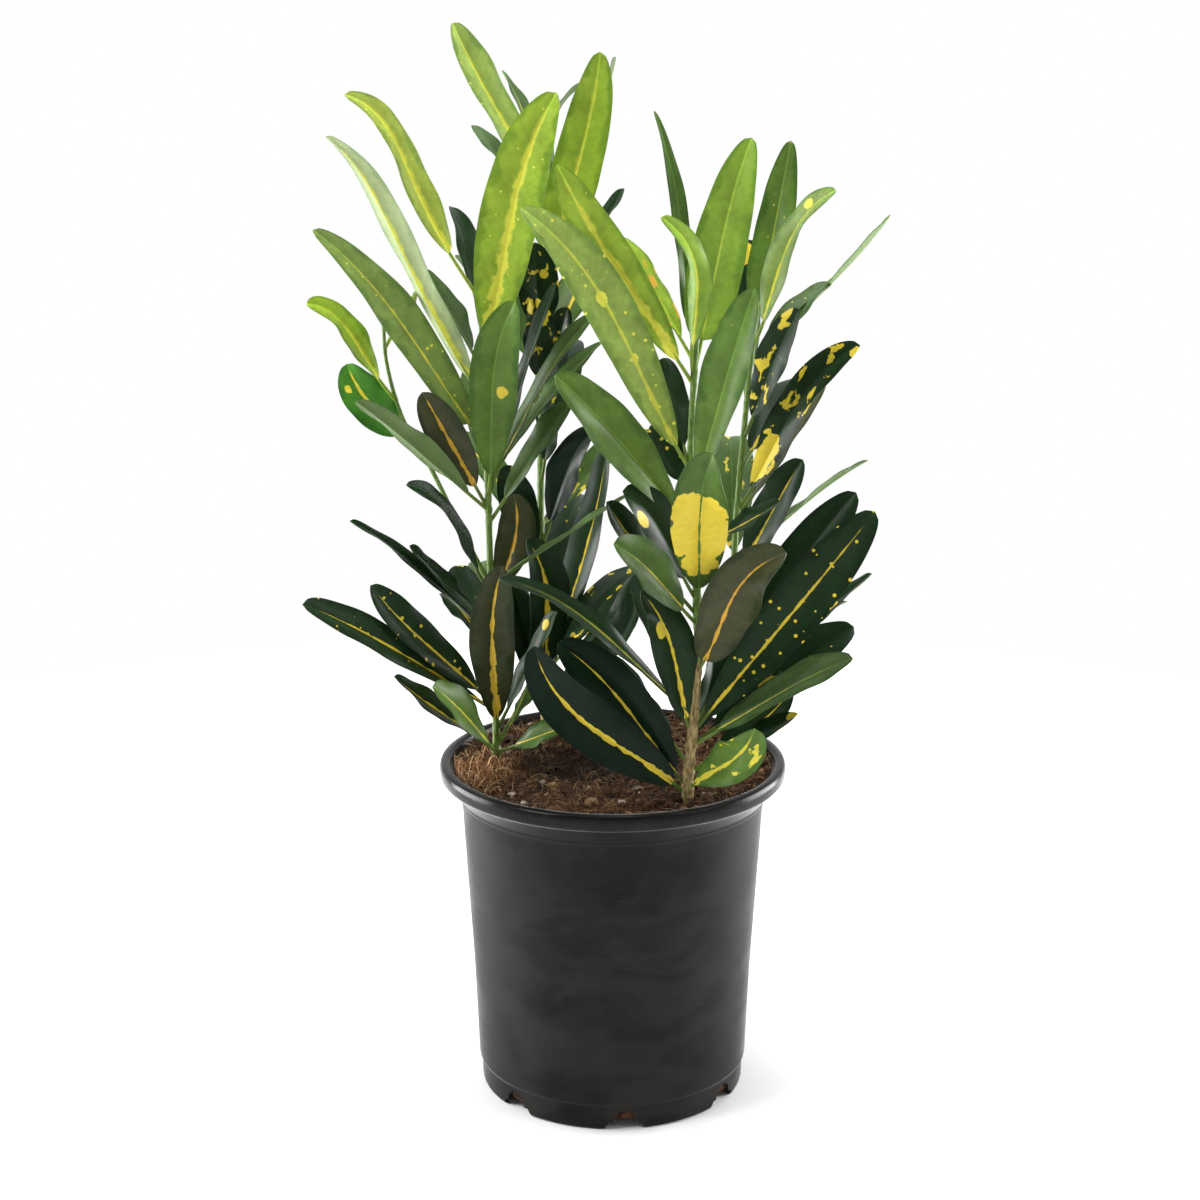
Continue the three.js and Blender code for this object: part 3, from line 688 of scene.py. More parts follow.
class LeafShape:
    """A leaf's own coordinates: places along it and across it, and the points that they stand for."""

    def __init__(self, leaf, stem, number):
        self.leaf = leaf
        self.number = number
        self.root = stem_point_at(stem, leaf.root)
        self.chord = np.array([leaf.x, leaf.y, leaf.z], float) - self.root
        self.length = np.linalg.norm(self.chord)
        along = self.chord / self.length
        self.rise = unit(UP - along * along[2])
        self.right = np.cross(along, self.rise)
        turn = math.radians(leaf.facing)
        self.look = np.array([FACING_SHARE * math.cos(turn), FACING_SHARE * math.sin(turn), UP_SHARE])
        self.blade_start = leaf.petiole / self.length
        self.blade_length = self.length * (1 - self.blade_start)

    def centre(self, share):
        share = share[:, None]
        upward = self.leaf.bow * bend(share) + self.leaf.hook * tip_bend(share)
        middle = self.root + self.chord * share + self.rise * upward
        return middle + self.right * self.leaf.sweep * bend(share)

    def directions(self, share):
        tangent = unit(self.centre(np.minimum(1, share + 0.01)) - self.centre(np.maximum(0, share - 0.01)))
        normal = unit(self.look - tangent * (tangent @ self.look)[:, None])
        return np.cross(tangent, normal), normal

    def half_width(self, station):
        blade = blade_shape(station, self.leaf.widest) * self.leaf.width / 2
        return np.maximum(blade, TIP_HALF_WIDTH + (PETIOLE_RADIUS - TIP_HALF_WIDTH) * (1 - station) ** 4)

    def blade_faces(self, station):
        """How far from the midrib each point of the blade is, and the points of its upper and lower face."""
        share = self.blade_start + (1 - self.blade_start) * station
        side, normal = (direction[:, None] for direction in self.directions(share))
        station = station[:, None]
        half = self.half_width(station)
        fullness = half / (self.leaf.width / 2)
        inset = np.abs(BLADE_COLUMNS)
        hand = np.where(BLADE_COLUMNS < 0, 0, 1)
        turns = 2 * math.pi * station
        phase = np.random.default_rng(self.number).uniform(0, 2 * math.pi, (3, 2))[:, hand]

        # An outline that is a little uneven, each side in its own way
        uneven = sum(size * np.sin(turns * rate + late) for (size, rate), late in zip(UNEVENNESS, phase))
        across = BLADE_COLUMNS * half * (1 + uneven * inset)

        # The fold along the midrib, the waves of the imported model, finer ripples and a bulge between
        wave = WAVE_HEIGHT * fullness * np.sin(turns * WAVES_PER_LEAF + self.leaf.x)
        ripple = RIPPLE_HEIGHT * fullness * np.sin(turns * RIPPLES_PER_LEAF + phase[2])
        bulge = CAMBER * half * np.sin(math.pi * inset)
        lift = FOLD * half * inset - wave * BLADE_COLUMNS + ripple * inset ** 2.5 + bulge
        middle = self.centre(share)[:, None] + side * across[..., None] + normal * lift[..., None]

        # Thickest at the midrib, which is a groove above and stands out below
        thickness = MIDRIB_THICKNESS + (MARGIN_THICKNESS - MIDRIB_THICKNESS) * inset
        near_rib = np.exp(-((across / MIDRIB_REACH) ** 2))
        keel = (KEEL_AT_TIP + (KEEL_AT_BASE - KEEL_AT_TIP) * (1 - station) ** 1.5) * near_rib
        upper = middle + normal * (thickness / 2 - GROOVE_DEPTH * near_rib)[..., None]
        lower = middle - normal * (thickness / 2 + keel)[..., None]
        return across, upper, lower

    def add_blade(self, parts, cell):
        ends = np.linspace(0, math.pi, BLADE_STATIONS)
        station = STATIONS_TO_ENDS * (1 - np.cos(ends)) / 2 + (1 - STATIONS_TO_ENDS) * ends / math.pi
        across, upper, lower = self.blade_faces(station)
        rows, columns = across.shape
        count = rows * columns
        left, bottom, width, height = cell
        upper_cell = (left, bottom, width * FACE_SHARE, height)
        lower_cell = (left + width * (1 - FACE_SHARE), bottom, width * FACE_SHARE, height)
        sheet = grid_quads(rows, columns)
        rim, rim_layout = rim_quads(rows, columns, upper_cell)
        upper_layout = grid_layout(rows, columns, upper_cell)
        lower_layout = grid_layout(rows, columns, lower_cell)[:, ::-1]

        def spread(*values):
            """The values at each point of the upper face, then again at each of the lower one."""
            stacked = np.stack(np.broadcast_arrays(across, *values)[1:], -1)
            return np.tile(stacked.reshape(count, -1), (2, 1))

        leaf = self.leaf
        along = station[:, None] * self.blade_length
        rib = leaf.rib * RIB_SCALE * np.sqrt(np.maximum(0, 1 - station[:, None] / RIB_END))
        parts.add(
            np.concatenate([upper.reshape(-1, 3), lower.reshape(-1, 3)]),
            np.concatenate([sheet, sheet[:, ::-1] + count, rim]),
            np.concatenate([upper_layout, lower_layout, rim_layout]),
            place=spread(along, across, self.number * LEAF_SEED_STEP),
            marks=spread(rib, leaf.dots, leaf.blotch),
            patch=spread(self.patch_depth(along, across))[:, 0],
            edge=spread(np.abs(BLADE_COLUMNS))[:, 0],
            under=np.repeat([0.0, 1.0], count),
            warm=[float(leaf.green.warmth if leaf.warm is None else leaf.warm)],
            tint=[leaf.green.colour],
        )

    def patch_depth(self, along, across):
        """How far inside the nearest yellow patch each place is, in shore widths; below 0 it is outside."""
        depth = np.full_like(across, NO_PATCH)
        for share_along, share_across, radius in self.leaf.patches:
            half = self.half_width(share_along)
            off_along = (along - share_along * self.blade_length) / PATCH_STRETCH
            far = np.hypot(off_along, across - share_across * half)
            depth = np.maximum(depth, (radius - far) / (SHORE_SHARE * radius))
        return depth

    def add_petiole(self, parts, cell):
        """A round stalk from the middle of the stem, which runs out under the blade's base."""
        under_blade = PETIOLE_UNDER_BLADE * (1 - self.blade_start)
        share = np.linspace(0, self.blade_start + under_blade, PETIOLE_POINTS)
        beyond = np.maximum(0, share - self.blade_start) / under_blade
        radii = PETIOLE_RADIUS * (PETIOLE_AT_STEM - PETIOLE_NARROWING * share / share[-1])
        radii = radii * (1 - PETIOLE_END_NARROWING * beyond)
        drop = PETIOLE_DROP + PETIOLE_END_DROP * beyond
        centres = self.centre(share) - self.directions(share)[1] * drop[:, None]
        seed = self.number * LEAF_SEED_STEP
        place = np.stack(np.broadcast_arrays(share * self.length, PETIOLE_OFF_RIB, seed), -1)
        add_tube(
            parts, centres, radii, PETIOLE_SIDES, cell,
            place=np.repeat(place[:, None], PETIOLE_SIDES, axis=1),
            marks=[(0, 0, 0)],
            patch=[NO_PATCH],
            edge=[0],
            under=[0],
            warm=[0],
            tint=[np.mean([self.leaf.green.colour, PETIOLE_GREEN], axis=0)],
        )


class Graph:
    """The nodes of a material or world. Each method returns the output socket of the node that it adds."""

    def __init__(self, owner):
        owner.use_nodes = True
        self.owner = owner
        self.tree = owner.node_tree
        self.shader = self.tree.nodes.get("Principled BSDF")

    def plug(self, socket, value):
        if isinstance(value, bpy.types.NodeSocket):
            self.tree.links.new(value, socket)
        else:
            socket.default_value = value

    def node(self, kind, inputs, **settings):
        made = self.tree.nodes.new(kind)
        for key, value in settings.items():
            setattr(made, key, value)
        for key, value in inputs.items():
            self.plug(made.inputs[key], value)
        return made

    def object_place(self):
        return self.node("ShaderNodeTexCoord", {}).outputs["Object"]

    def attribute(self, name, output="Vector"):
        return self.node("ShaderNodeAttribute", {}, attribute_name=name).outputs[output]

    def split(self, vector):
        return self.node("ShaderNodeSeparateXYZ", {0: vector}).outputs

    def join(self, x, y, z):
        return self.node("ShaderNodeCombineXYZ", {0: x, 1: y, 2: z}).outputs[0]

    def stretched(self, vector, factors):
        return self.node("ShaderNodeVectorMath", {0: vector, 1: factors}, operation="MULTIPLY").outputs[0]

    def math(self, operation, a, b=0.0, c=0.0):
        return self.node("ShaderNodeMath", {0: a, 1: b, 2: c}, operation=operation).outputs[0]

    def step(self, value, low, high, start=0.0, end=1.0):
        """Smoothly from start to end while the value goes from low to high."""
        inputs = {0: value, 1: low, 2: high, 3: start, 4: end}
        return self.node("ShaderNodeMapRange", inputs, interpolation_type="SMOOTHSTEP").outputs[0]

    def mix(self, share, a, b, blend="MIX"):
        """A mix of two colours, each a socket or a plain red, green and blue."""
        a, b = (colour if isinstance(colour, bpy.types.NodeSocket) else (*colour, 1.0) for colour in (a, b))
        settings = {"data_type": "RGBA", "blend_type": blend}
        return self.node("ShaderNodeMix", {0: share, 6: a, 7: b}, **settings).outputs[2]

    def noise(self, vector, scale, detail, distortion=0.0):
        inputs = {"Vector": vector, "Scale": scale, "Detail": detail, "Distortion": distortion}
        return self.node("ShaderNodeTexNoise", inputs).outputs[0]

    def cells(self, vector, scale):
        inputs = {"Vector": vector, "Scale": scale}
        return self.node("ShaderNodeTexVoronoi", inputs, voronoi_dimensions="2D").outputs

    def lit(self, colour, level):
        return self.mix(1.0, colour, self.join(level, level, level), "MULTIPLY")

    def shade(self, colour, cloud, low, high):
        """The colour made darker or lighter by a noise."""
        return self.lit(colour, self.step(cloud, 0.25, 0.75, low, high))

    def bump(self, height, depth):
        inputs = {"Height": height, "Distance": depth * MM, "Strength": 1.0}
        self.plug(self.shader.inputs["Normal"], self.node("ShaderNodeBump", inputs).outputs[0])

    def finish(self, base, roughness, specular):
        self.plug(self.shader.inputs["Base Color"], base)
        self.plug(self.shader.inputs["Roughness"], roughness)
        self.shader.inputs["Specular IOR Level"].default_value = specular
        return self.owner


def leaf_material():
    """Green, and yellow where the mask says so."""
    graph = Graph(bpy.data.materials.new("leaf"))
    place = graph.attribute("place")
    along, across = graph.split(place)[:2]
    off_rib = graph.math("ABSOLUTE", across)
    warm = graph.attribute("warm", "Fac")
    under = graph.attribute("under", "Fac")
    speckle = graph.noise(place, *LEAF_SPECKLE)

    green = leaf_green(graph, place, along, off_rib, speckle)
    green = graph.mix(graph.math("MULTIPLY", under, UNDERSIDE_SHARE), green, UNDERSIDE)
    gold = graph.mix(graph.step(warm, 0.0, 1.0), YELLOW, WARM_YELLOW)
    gold = graph.mix(graph.step(warm, 0.0, -1.0), gold, LIME_YELLOW)
    gold = graph.shade(gold, speckle, 0.92, 1.05)
    base = graph.mix(leaf_yellow_mask(graph, place, off_rib, warm), green, gold)
    roughness = graph.step(speckle, 0.2, 0.8, *LEAF_ROUGHNESS)
    roughness = graph.math("MULTIPLY_ADD", under, UNDERSIDE_ROUGHER, roughness)
    return graph.finish(base, roughness, LEAF_SPECULAR)


def leaf_green(graph, place, along, off_rib, speckle):
    """A leaf's own green: cloudy, and darker in places along its margins."""
    green = graph.shade(graph.attribute("tint", "Color"), graph.noise(place, *LEAF_CLOUD), 0.84, 1.16)
    green = graph.shade(green, speckle, 0.92, 1.08)
    wander = graph.noise(place, *LEAF_WANDER)
    edge = graph.math("MULTIPLY_ADD", wander, 0.9, graph.attribute("edge", "Fac"))
    green = graph.mix(graph.step(edge, 1.1, 1.4), green, graph.mix(1.0, green, MARGIN_SHADE, "MULTIPLY"))

    # Side veins slant forward from the midrib. They and the midrib are a little lighter.
    slant = graph.math("MULTIPLY_ADD", off_rib, -VEIN_SLANT, along)
    slant = graph.math("MULTIPLY_ADD", wander, VEIN_WANDER, slant)
    veins = graph.step(graph.math("SINE", graph.math("MULTIPLY", slant, VEIN_RATE)), 0.82, 1.0)
    line = graph.step(off_rib, 0.25, 0.65, 1.0, 0.0)
    level = graph.math("MULTIPLY_ADD", line, RIB_LIGHT, 1.0)
    return graph.lit(green, graph.math("MULTIPLY_ADD", veins, VEIN_LIGHT, level))


def leaf_yellow_mask(graph, place, off_rib, warm):
    """Where a leaf is yellow: along its midrib, in round dots, in blotches and in its own patches."""
    rib, dots, blotch = graph.split(graph.attribute("marks"))
    along, across, seed = graph.split(place)

    # The midrib's edge is crisp on old leaves, and blurred on young ones. A rib below 0 stays green.
    wander = graph.noise(place, *RIB_WANDER)
    reach = graph.math("MULTIPLY", rib, graph.step(wander, 0.25, 0.75, 0.4, 1.6))
    blur = graph.step(warm, -0.3, -1.0, 0.12, 0.9)
    within = graph.math("DIVIDE", graph.math("SUBTRACT", reach, off_rib), blur)
    midrib = graph.math("MULTIPLY", graph.step(within, -1.0, 1.0), graph.step(rib, 0.02, 0.3))
    beside_green_rib = graph.step(graph.math("ADD", off_rib, reach), -0.12, 0.1)

    # Dots
    cells = graph.cells(graph.join(along, graph.math("ADD", across, seed), 0.0), DOT_RATE)
    chance = graph.split(cells["Color"])[0]
    free = graph.math("SUBTRACT", 1.0, dots)
    size = graph.step(chance, free, graph.math("ADD", free, 0.5), 0.0, DOT_RADIUS)
    dot = graph.step(graph.math("SUBTRACT", size, cells["Distance"]), 0.0, 0.05)
    dot = graph.math("MULTIPLY", dot, graph.math("GREATER_THAN", dots, 0.01))

    # Blotches
    blot = graph.noise(graph.stretched(place, (0.6, 1.0, 1.0)), *BLOTCHES)
    level = graph.math("MULTIPLY_ADD", blotch, -0.3, 0.72)
    blot = graph.step(graph.math("SUBTRACT", blot, level), 0.0, 0.025)
    blot = graph.math("MULTIPLY", blot, graph.math("GREATER_THAN", blotch, 0.01))

    # Patches
    shore = graph.math("MULTIPLY_ADD", graph.noise(place, *SHORE), 2.0, -1.0)
    patch = graph.step(graph.math("ADD", graph.attribute("patch", "Fac"), shore), -0.05, 0.05)

    mask = graph.math("MAXIMUM", graph.math("MAXIMUM", midrib, dot), graph.math("MAXIMUM", blot, patch))
    return graph.math("MULTIPLY", mask, beside_green_rib)


def stem_material():
    """Streaky green above, and brown bark low down, with a ragged border between."""
    graph = Graph(bpy.data.materials.new("stem"))
    place = graph.attribute("place")
    streak = graph.noise(graph.stretched(place, (1.0, 0.22, 1.0)), *BARK_STREAK)
    mottle = graph.noise(place, *BARK_MOTTLE)
    green = graph.mix(graph.step(streak, 0.35, 0.75), *STEM_GREENS)
    brown = graph.mix(graph.step(streak, 0.3, 0.72), *BARK_BROWNS)
    brown = graph.mix(graph.step(mottle, 0.55, 0.75), brown, BARK_OLIVE)
    bark = graph.math("ADD", graph.attribute("bark", "Fac"), -0.3)
    ragged = graph.math("MULTIPLY_ADD", mottle, 0.6, bark)
    graph.bump(graph.math("ADD", streak, mottle), STEM_BUMP)
    base = graph.mix(graph.step(ragged, 0.35, 0.65), green, brown)
    return graph.finish(base, graph.step(ragged, 0.2, 0.8, *STEM_ROUGHNESS), STEM_SPECULAR)


def pot_material():
    """Black plastic, dull and smeared with dust that gets thinner upwards, partly real and partly painted
    shade under the lip, with a glossier lip.
    """
    graph = Graph(bpy.data.materials.new("pot_plastic"))
    place = graph.object_place()
    height = graph.split(place)[2]
    mottle = graph.noise(place, *POT_MOTTLE)
    smear = graph.noise(graph.stretched(place, (0.7, 0.7, 1.6)), *POT_SMEAR)
    scratch = graph.noise(graph.stretched(place, (1.0, 1.0, 9.0)), *POT_SCRATCHES)
    # Dust thins upwards: partly real dust, partly painted shade that darkens the wall under the lip
    dust_and_lip_shade = graph.step(height, DUSTY_BELOW, LIP_SHADE_ABOVE, 0.34, 0.08)
    dust = graph.math("MULTIPLY", graph.step(smear, 0.4, 0.62), dust_and_lip_shade)
    base = graph.mix(graph.step(mottle, 0.3, 0.7), *POT_BLACKS)
    base = graph.mix(dust, base, POT_DUST)
    base = graph.mix(graph.step(scratch, 0.66, 0.72, 0.0, 0.1), base, POT_SCRATCH)
    roughness = graph.step(height, LIP_FOOT_HEIGHT * MM, POT_HEIGHT * MM, *POT_ROUGHNESS)
    roughness = graph.math("MULTIPLY_ADD", graph.step(mottle, 0.25, 0.75), MOTTLE_ROUGHER, roughness)
    roughness = graph.math("MULTIPLY_ADD", dust, DUST_ROUGHER, roughness)
    graph.bump(graph.math("MULTIPLY_ADD", graph.noise(place, *POT_GRAIN), 0.5, mottle), POT_BUMP)
    graph.shader.inputs["Sheen Weight"].default_value = POT_SHEEN
    graph.shader.inputs["Sheen Roughness"].default_value = POT_SHEEN_ROUGHNESS
    return graph.finish(base, roughness, POT_SPECULAR)


def soil_material():
    """Lumpy and grainy brown earth, with painted shade in the hollow between the plants."""
    graph = Graph(bpy.data.materials.new("soil"))
    place = graph.object_place()
    lump = graph.noise(place, *SOIL_LUMPS)
    grain = graph.noise(place, *SOIL_GRAIN)
    base = graph.mix(graph.step(lump, 0.36, 0.66), *EARTHS)
    base = graph.mix(graph.step(grain, 0.5, 0.72), base, EARTH_GRAIN)
    # Painted shade: the earth darkens towards near black in the hollow between the plants
    base = graph.mix(graph.math("MULTIPLY", graph.attribute("damp", "Fac"), 0.95), base, HOLLOW_SHADE_EARTH)
    graph.bump(graph.math("ADD", lump, grain), SOIL_BUMP)
    return graph.finish(base, graph.step(grain, 0.3, 0.7, *SOIL_ROUGHNESS), SOIL_SPECULAR)


def fibre_material():
    """Each fibre's or crumb's own tint, a little uneven."""
    graph = Graph(bpy.data.materials.new("soil_fibre"))
    thread = graph.noise(graph.object_place(), *FIBRE_THREAD)
    base = graph.shade(graph.attribute("tint", "Color"), thread, 0.6, 1.4)
    graph.bump(thread, FIBRE_BUMP)
    return graph.finish(base, graph.step(thread, 0.3, 0.7, *FIBRE_ROUGHNESS), FIBRE_SPECULAR)


def floor_material():
    graph = Graph(bpy.data.materials.new("studio_floor"))
    cloud = graph.noise(graph.object_place(), *FLOOR_CLOUD)
    base = graph.mix(cloud, *FLOOR_WHITES)
    return graph.finish(base, graph.step(cloud, 0.3, 0.7, *FLOOR_ROUGHNESS), FLOOR_SPECULAR)


def rounded_profile(profile, cut):
    """The profile with each corner cut, never further than a set length, and then again more finely."""
    for _ in range(2):
        rounded = [profile[0]]
        for before, corner, after in zip(profile, profile[1:], profile[2:]):
            for end in (before, after):
                side = Vector(end) - Vector(corner)
                rounded.append(tuple(Vector(corner) + side * min(0.25, cut / side.length)))
        rounded.append(profile[-1])
        profile = rounded
        cut /= 3
    return profile


def lathe_mesh(profile, segments):
    """A closed body of revolution, from a profile that starts and ends on the axis."""
    body = bmesh.new()
    poles = [body.verts.new((0, 0, profile[end][1] * MM)) for end in (0, -1)]
    rings = []
    for radius, height in profile[1:-1]:
        ring = []
        for i in range(segments):
            angle = 2 * math.pi * i / segments
            place = (radius * MM * math.cos(angle), radius * MM * math.sin(angle), height * MM)
            ring.append(body.verts.new(place))
        rings.append(ring)
    for i in range(segments):
        j = (i + 1) % segments
        body.faces.new((poles[0], rings[0][j], rings[0][i]))
        body.faces.new((poles[1], rings[-1][i], rings[-1][j]))
        for inner, outer in zip(rings, rings[1:]):
            body.faces.new((inner[i], inner[j], outer[j], outer[i]))
    return body


def notch_outline():
    """A drain notch's outline, as places across and up."""
    centre = ARCH_TOP - ARCH_HALF_WIDTH
    outline = [
        (-GAP_FOOT_HALF_WIDTH, -CUT_MARGIN),
        (GAP_FOOT_HALF_WIDTH, -CUT_MARGIN),
        (GAP_TOP_HALF_WIDTH, GAP_HEIGHT),
        (ARCH_HALF_WIDTH, GAP_HEIGHT),
    ]
    for i in range(ARCH_SEGMENTS + 1):
        angle = math.pi * i / ARCH_SEGMENTS
        outline.append((ARCH_HALF_WIDTH * math.cos(angle), centre + ARCH_HALF_WIDTH * math.sin(angle)))
    return outline + [(-ARCH_HALF_WIDTH, GAP_HEIGHT), (-GAP_TOP_HALF_WIDTH, GAP_HEIGHT)]


def notch_cutters():
    """A body for each drain notch, which reaches through the foot."""
    cutters = bmesh.new()
    outline = notch_outline()
    for i in range(NOTCH_COUNT):
        angle = math.radians(FIRST_NOTCH_ANGLE) + 2 * math.pi * i / NOTCH_COUNT
        outward = Vector((math.cos(angle), math.sin(angle), 0))
        sideways = Vector((-math.sin(angle), math.cos(angle), 0))
        ends = []
        for reach in (NOTCH_INNER_RADIUS, NOTCH_OUTER_RADIUS):
            places = (outward * reach + sideways * x + Vector((0, 0, z)) for x, z in outline)
            ends.append([cutters.verts.new(place * MM) for place in places])
        inner, outer = ends
        cutters.faces.new(inner[::-1])
        cutters.faces.new(outer)
        for a in range(len(outline)):
            b = (a + 1) % len(outline)
            cutters.faces.new((inner[a], inner[b], outer[b], outer[a]))
    bmesh.ops.recalc_face_normals(cutters, faces=cutters.faces)
    return cutters


def object_of(name, body):
    mesh = bpy.data.meshes.new(name)
    body.to_mesh(mesh)
    body.free()
    made = bpy.data.objects.new(name, mesh)
    bpy.context.collection.objects.link(made)
    return made


def make_pot():
    """The pot turned from its profile, with the drain notches cut out of its foot."""
    body = lathe_mesh(rounded_profile(POT_PROFILE, CORNER_CUT), POT_SEGMENTS)
    bmesh.ops.recalc_face_normals(body, faces=body.faces)
    blank = object_of("pot_blank", body)
    cutter = object_of("notch_cutter", notch_cutters())
    cut = blank.modifiers.new("notches", "BOOLEAN")
    cut.object = cutter
    cut.operation = "DIFFERENCE"
    cut.solver = "EXACT"
    depsgraph = bpy.context.evaluated_depsgraph_get()
    mesh = bpy.data.meshes.new_from_object(blank.evaluated_get(depsgraph))
    bpy.data.objects.remove(blank)
    bpy.data.objects.remove(cutter)
    piece("pot_body", mesh, pot_material(), "pot_plastic", "pot")


def hollow(x, y):
    """The hollow between the plants, from 1 in its middle to 0 outside. It sinks the soil there and sets
    where painted shade darkens it.
    """
    across = (x - HOLLOW_PLACE[0]) / HOLLOW_RADII[0]
    along = (y - HOLLOW_PLACE[1]) / HOLLOW_RADII[1]
    return np.exp(-(across ** 2) - along ** 2)


def soil_height(x, y):
    """The soil's top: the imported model's mounds, with clumps, grains and a hollow between the plants."""
    inward = max(0, 1 - math.hypot(x, y) / SOIL_EDGE_RADIUS)
    fade = min(1, inward / FLAT_RIM_SHARE)
    broad = math.sin(x / BROAD_MOUND_SCALE + 1) * math.cos(y / BROAD_MOUND_SCALE)
    small = math.sin((x + y) / SMALL_MOUND_SCALE)
    mounds = fade * (SOIL_RISE + BROAD_MOUND_HEIGHT * broad + SMALL_MOUND_HEIGHT * small)
    clump = noise.noise(Vector((x, y, 0)) / CLUMP_SIZE)
    grain = noise.noise(Vector((x, y, 50)) / GRAIN_SIZE)
    rough = CLUMP_HEIGHT * clump + GRAIN_HEIGHT * grain
    return SOIL_EDGE_HEIGHT + mounds + rough - HOLLOW_DEPTH * hollow(x, y)


def make_soil():
    """The soil's body: a wall inside the pot, and a top of rings that closes over it."""
    angles = np.arange(SOIL_SEGMENTS) * 2 * math.pi / SOIL_SEGMENTS
    circle = np.stack([np.cos(angles), np.sin(angles)], -1)
    rings = []
    for radius, height in [(0, SOIL_WALL[0][1])] + SOIL_WALL:
        rings.append(np.concatenate([circle * radius, np.full((SOIL_SEGMENTS, 1), height)], 1))
    for step in range(SOIL_RINGS + 1):
        ring = circle * SOIL_EDGE_RADIUS * (1 - step / SOIL_RINGS)
        heights = [[soil_height(x, y)] for x, y in ring]
        rings.append(np.concatenate([ring, heights], 1))
    parts = MeshParts()
    rows = len(rings)
    quads = grid_quads(rows, SOIL_SEGMENTS, wrap=True)
    layout = grid_layout(rows, SOIL_SEGMENTS + 1, WHOLE_CELL)
    points = np.concatenate(rings)
    # Where the painted shade of the hollow darkens the earth
    parts.add(points, quads, layout, damp=hollow(points[:, 0], points[:, 1]))
    parts.build("soil_bed", soil_material(), "soil", "soil")


def fibre_path(random):
    """A fibre that lies on the soil: it winds one way, then the other, and arches off it."""
    in_tuft = random.random() < TUFT_SHARE
    if in_tuft:
        start = TUFT_PLACE + random.normal(0, TUFT_SPREAD, 2)
    else:
        angle = random.uniform(0, 2 * math.pi)
        start = FIBRE_REACH * math.sqrt(random.random()) * np.array([math.cos(angle), math.sin(angle)])
    length = random.uniform(*FIBRE_LENGTHS)
    t = np.linspace(0, 1, FIBRE_POINTS)
    heading = random.uniform(0, 2 * math.pi)
    turn = heading + random.normal(0, FIBRE_TURN) * t
    turn += random.normal(0, FIBRE_WINDING) * np.sin(random.uniform(*WINDING_RATES) * t)
    steps = np.stack([np.cos(turn), np.sin(turn)], -1) * length / (FIBRE_POINTS - 1)
    path = start + np.cumsum(steps, 0) - steps[0]
    path *= np.minimum(1, FIBRE_REACH / np.maximum(np.hypot(*path.T), 1))[:, None]
    arch = random.gamma(*FIBRE_ARCH) * (TUFT_ARCH if in_tuft else 1)
    ground = np.array([soil_height(x, y) for x, y in path])
    loose_end = max(0, random.normal(0, FIBRE_LOOSE_END))
    height = ground + arch * 4 * t * (1 - t) + loose_end * t - FIBRE_SINK
    return np.concatenate([path, height[:, None]], 1)


def bit_tint(random, tints, shares, place):
    """A tint drawn for a fibre or a crumb, with painted shade in the hollow between the plants."""
    tint = np.array(tints[random.choice(len(tints), p=shares)]) * random.uniform(*TINT_RANGE)
    return tint * (1 - HOLLOW_PAINTED_SHADE * hollow(*place))


def make_fibres():
    """Coir fibres that lie and curl on the soil, denser in a paler tuft beside the left plant."""
    random = np.random.default_rng(FIBRE_SEED)
    parts = MeshParts()
    across = math.ceil(math.sqrt(FIBRE_COUNT))
    for number in range(FIBRE_COUNT):
        centres = fibre_path(random)
        foot = centres[0, :2]
        radii = random.uniform(*FIBRE_RADII) * np.linspace(1, 0.5, FIBRE_POINTS)
        tint = bit_tint(random, FIBRE_TINTS, FIBRE_TINT_SHARES, foot)
        off_tuft = np.linalg.norm(foot - TUFT_PLACE) / TUFT_SPREAD
        tint = tint * (1 + (TUFT_TINT - 1) * math.exp(-(off_tuft ** 2) / 4))
        add_tube(parts, centres, radii, FIBRE_SIDES, bake_cell(number, across, BIT_SHARE), tint=[tint])
    parts.build("soil_fibres", fibre_material(), "soil", "soil")


def make_crumbs():
    """Crumbs of peat and bark, and a few pale bits, half sunk in the soil."""
    random = np.random.default_rng(CRUMB_SEED)
    parts = MeshParts()
    across = math.ceil(math.sqrt(CRUMB_COUNT))
    points = len(CRUMB_RADII)
    for number in range(CRUMB_COUNT):
        angle = random.uniform(0, 2 * math.pi)
        size = CRUMB_LEAST_SIZE + random.gamma(*CRUMB_GROWTH)
        reach = (FIBRE_REACH - size) * math.sqrt(random.random())
        x, y = reach * math.cos(angle), reach * math.sin(angle)
        along = unit(np.append(random.normal(0, 1, 2), random.normal(0, CRUMB_TILT)))
        middle = np.array([x, y, soil_height(x, y) + CRUMB_LIFT * size])
        reaches = np.linspace(-1, 1, points)[:, None]
        centres = middle + along * size * reaches * random.uniform(*CRUMB_STRETCH)
        radii = size * CRUMB_RADII * random.uniform(*CRUMB_UNEVENNESS, points)
        tint = bit_tint(random, CRUMB_TINTS, CRUMB_TINT_SHARES, (x, y))
        relief = random.uniform(-CRUMB_RELIEF, CRUMB_RELIEF, (points, CRUMB_SIDES)) * size
        cell = bake_cell(number, across, BIT_SHARE)
        add_tube(parts, centres, radii, CRUMB_SIDES, cell, relief=relief, tint=[tint])
    parts.build("soil_crumbs", fibre_material(), "soil", "soil")


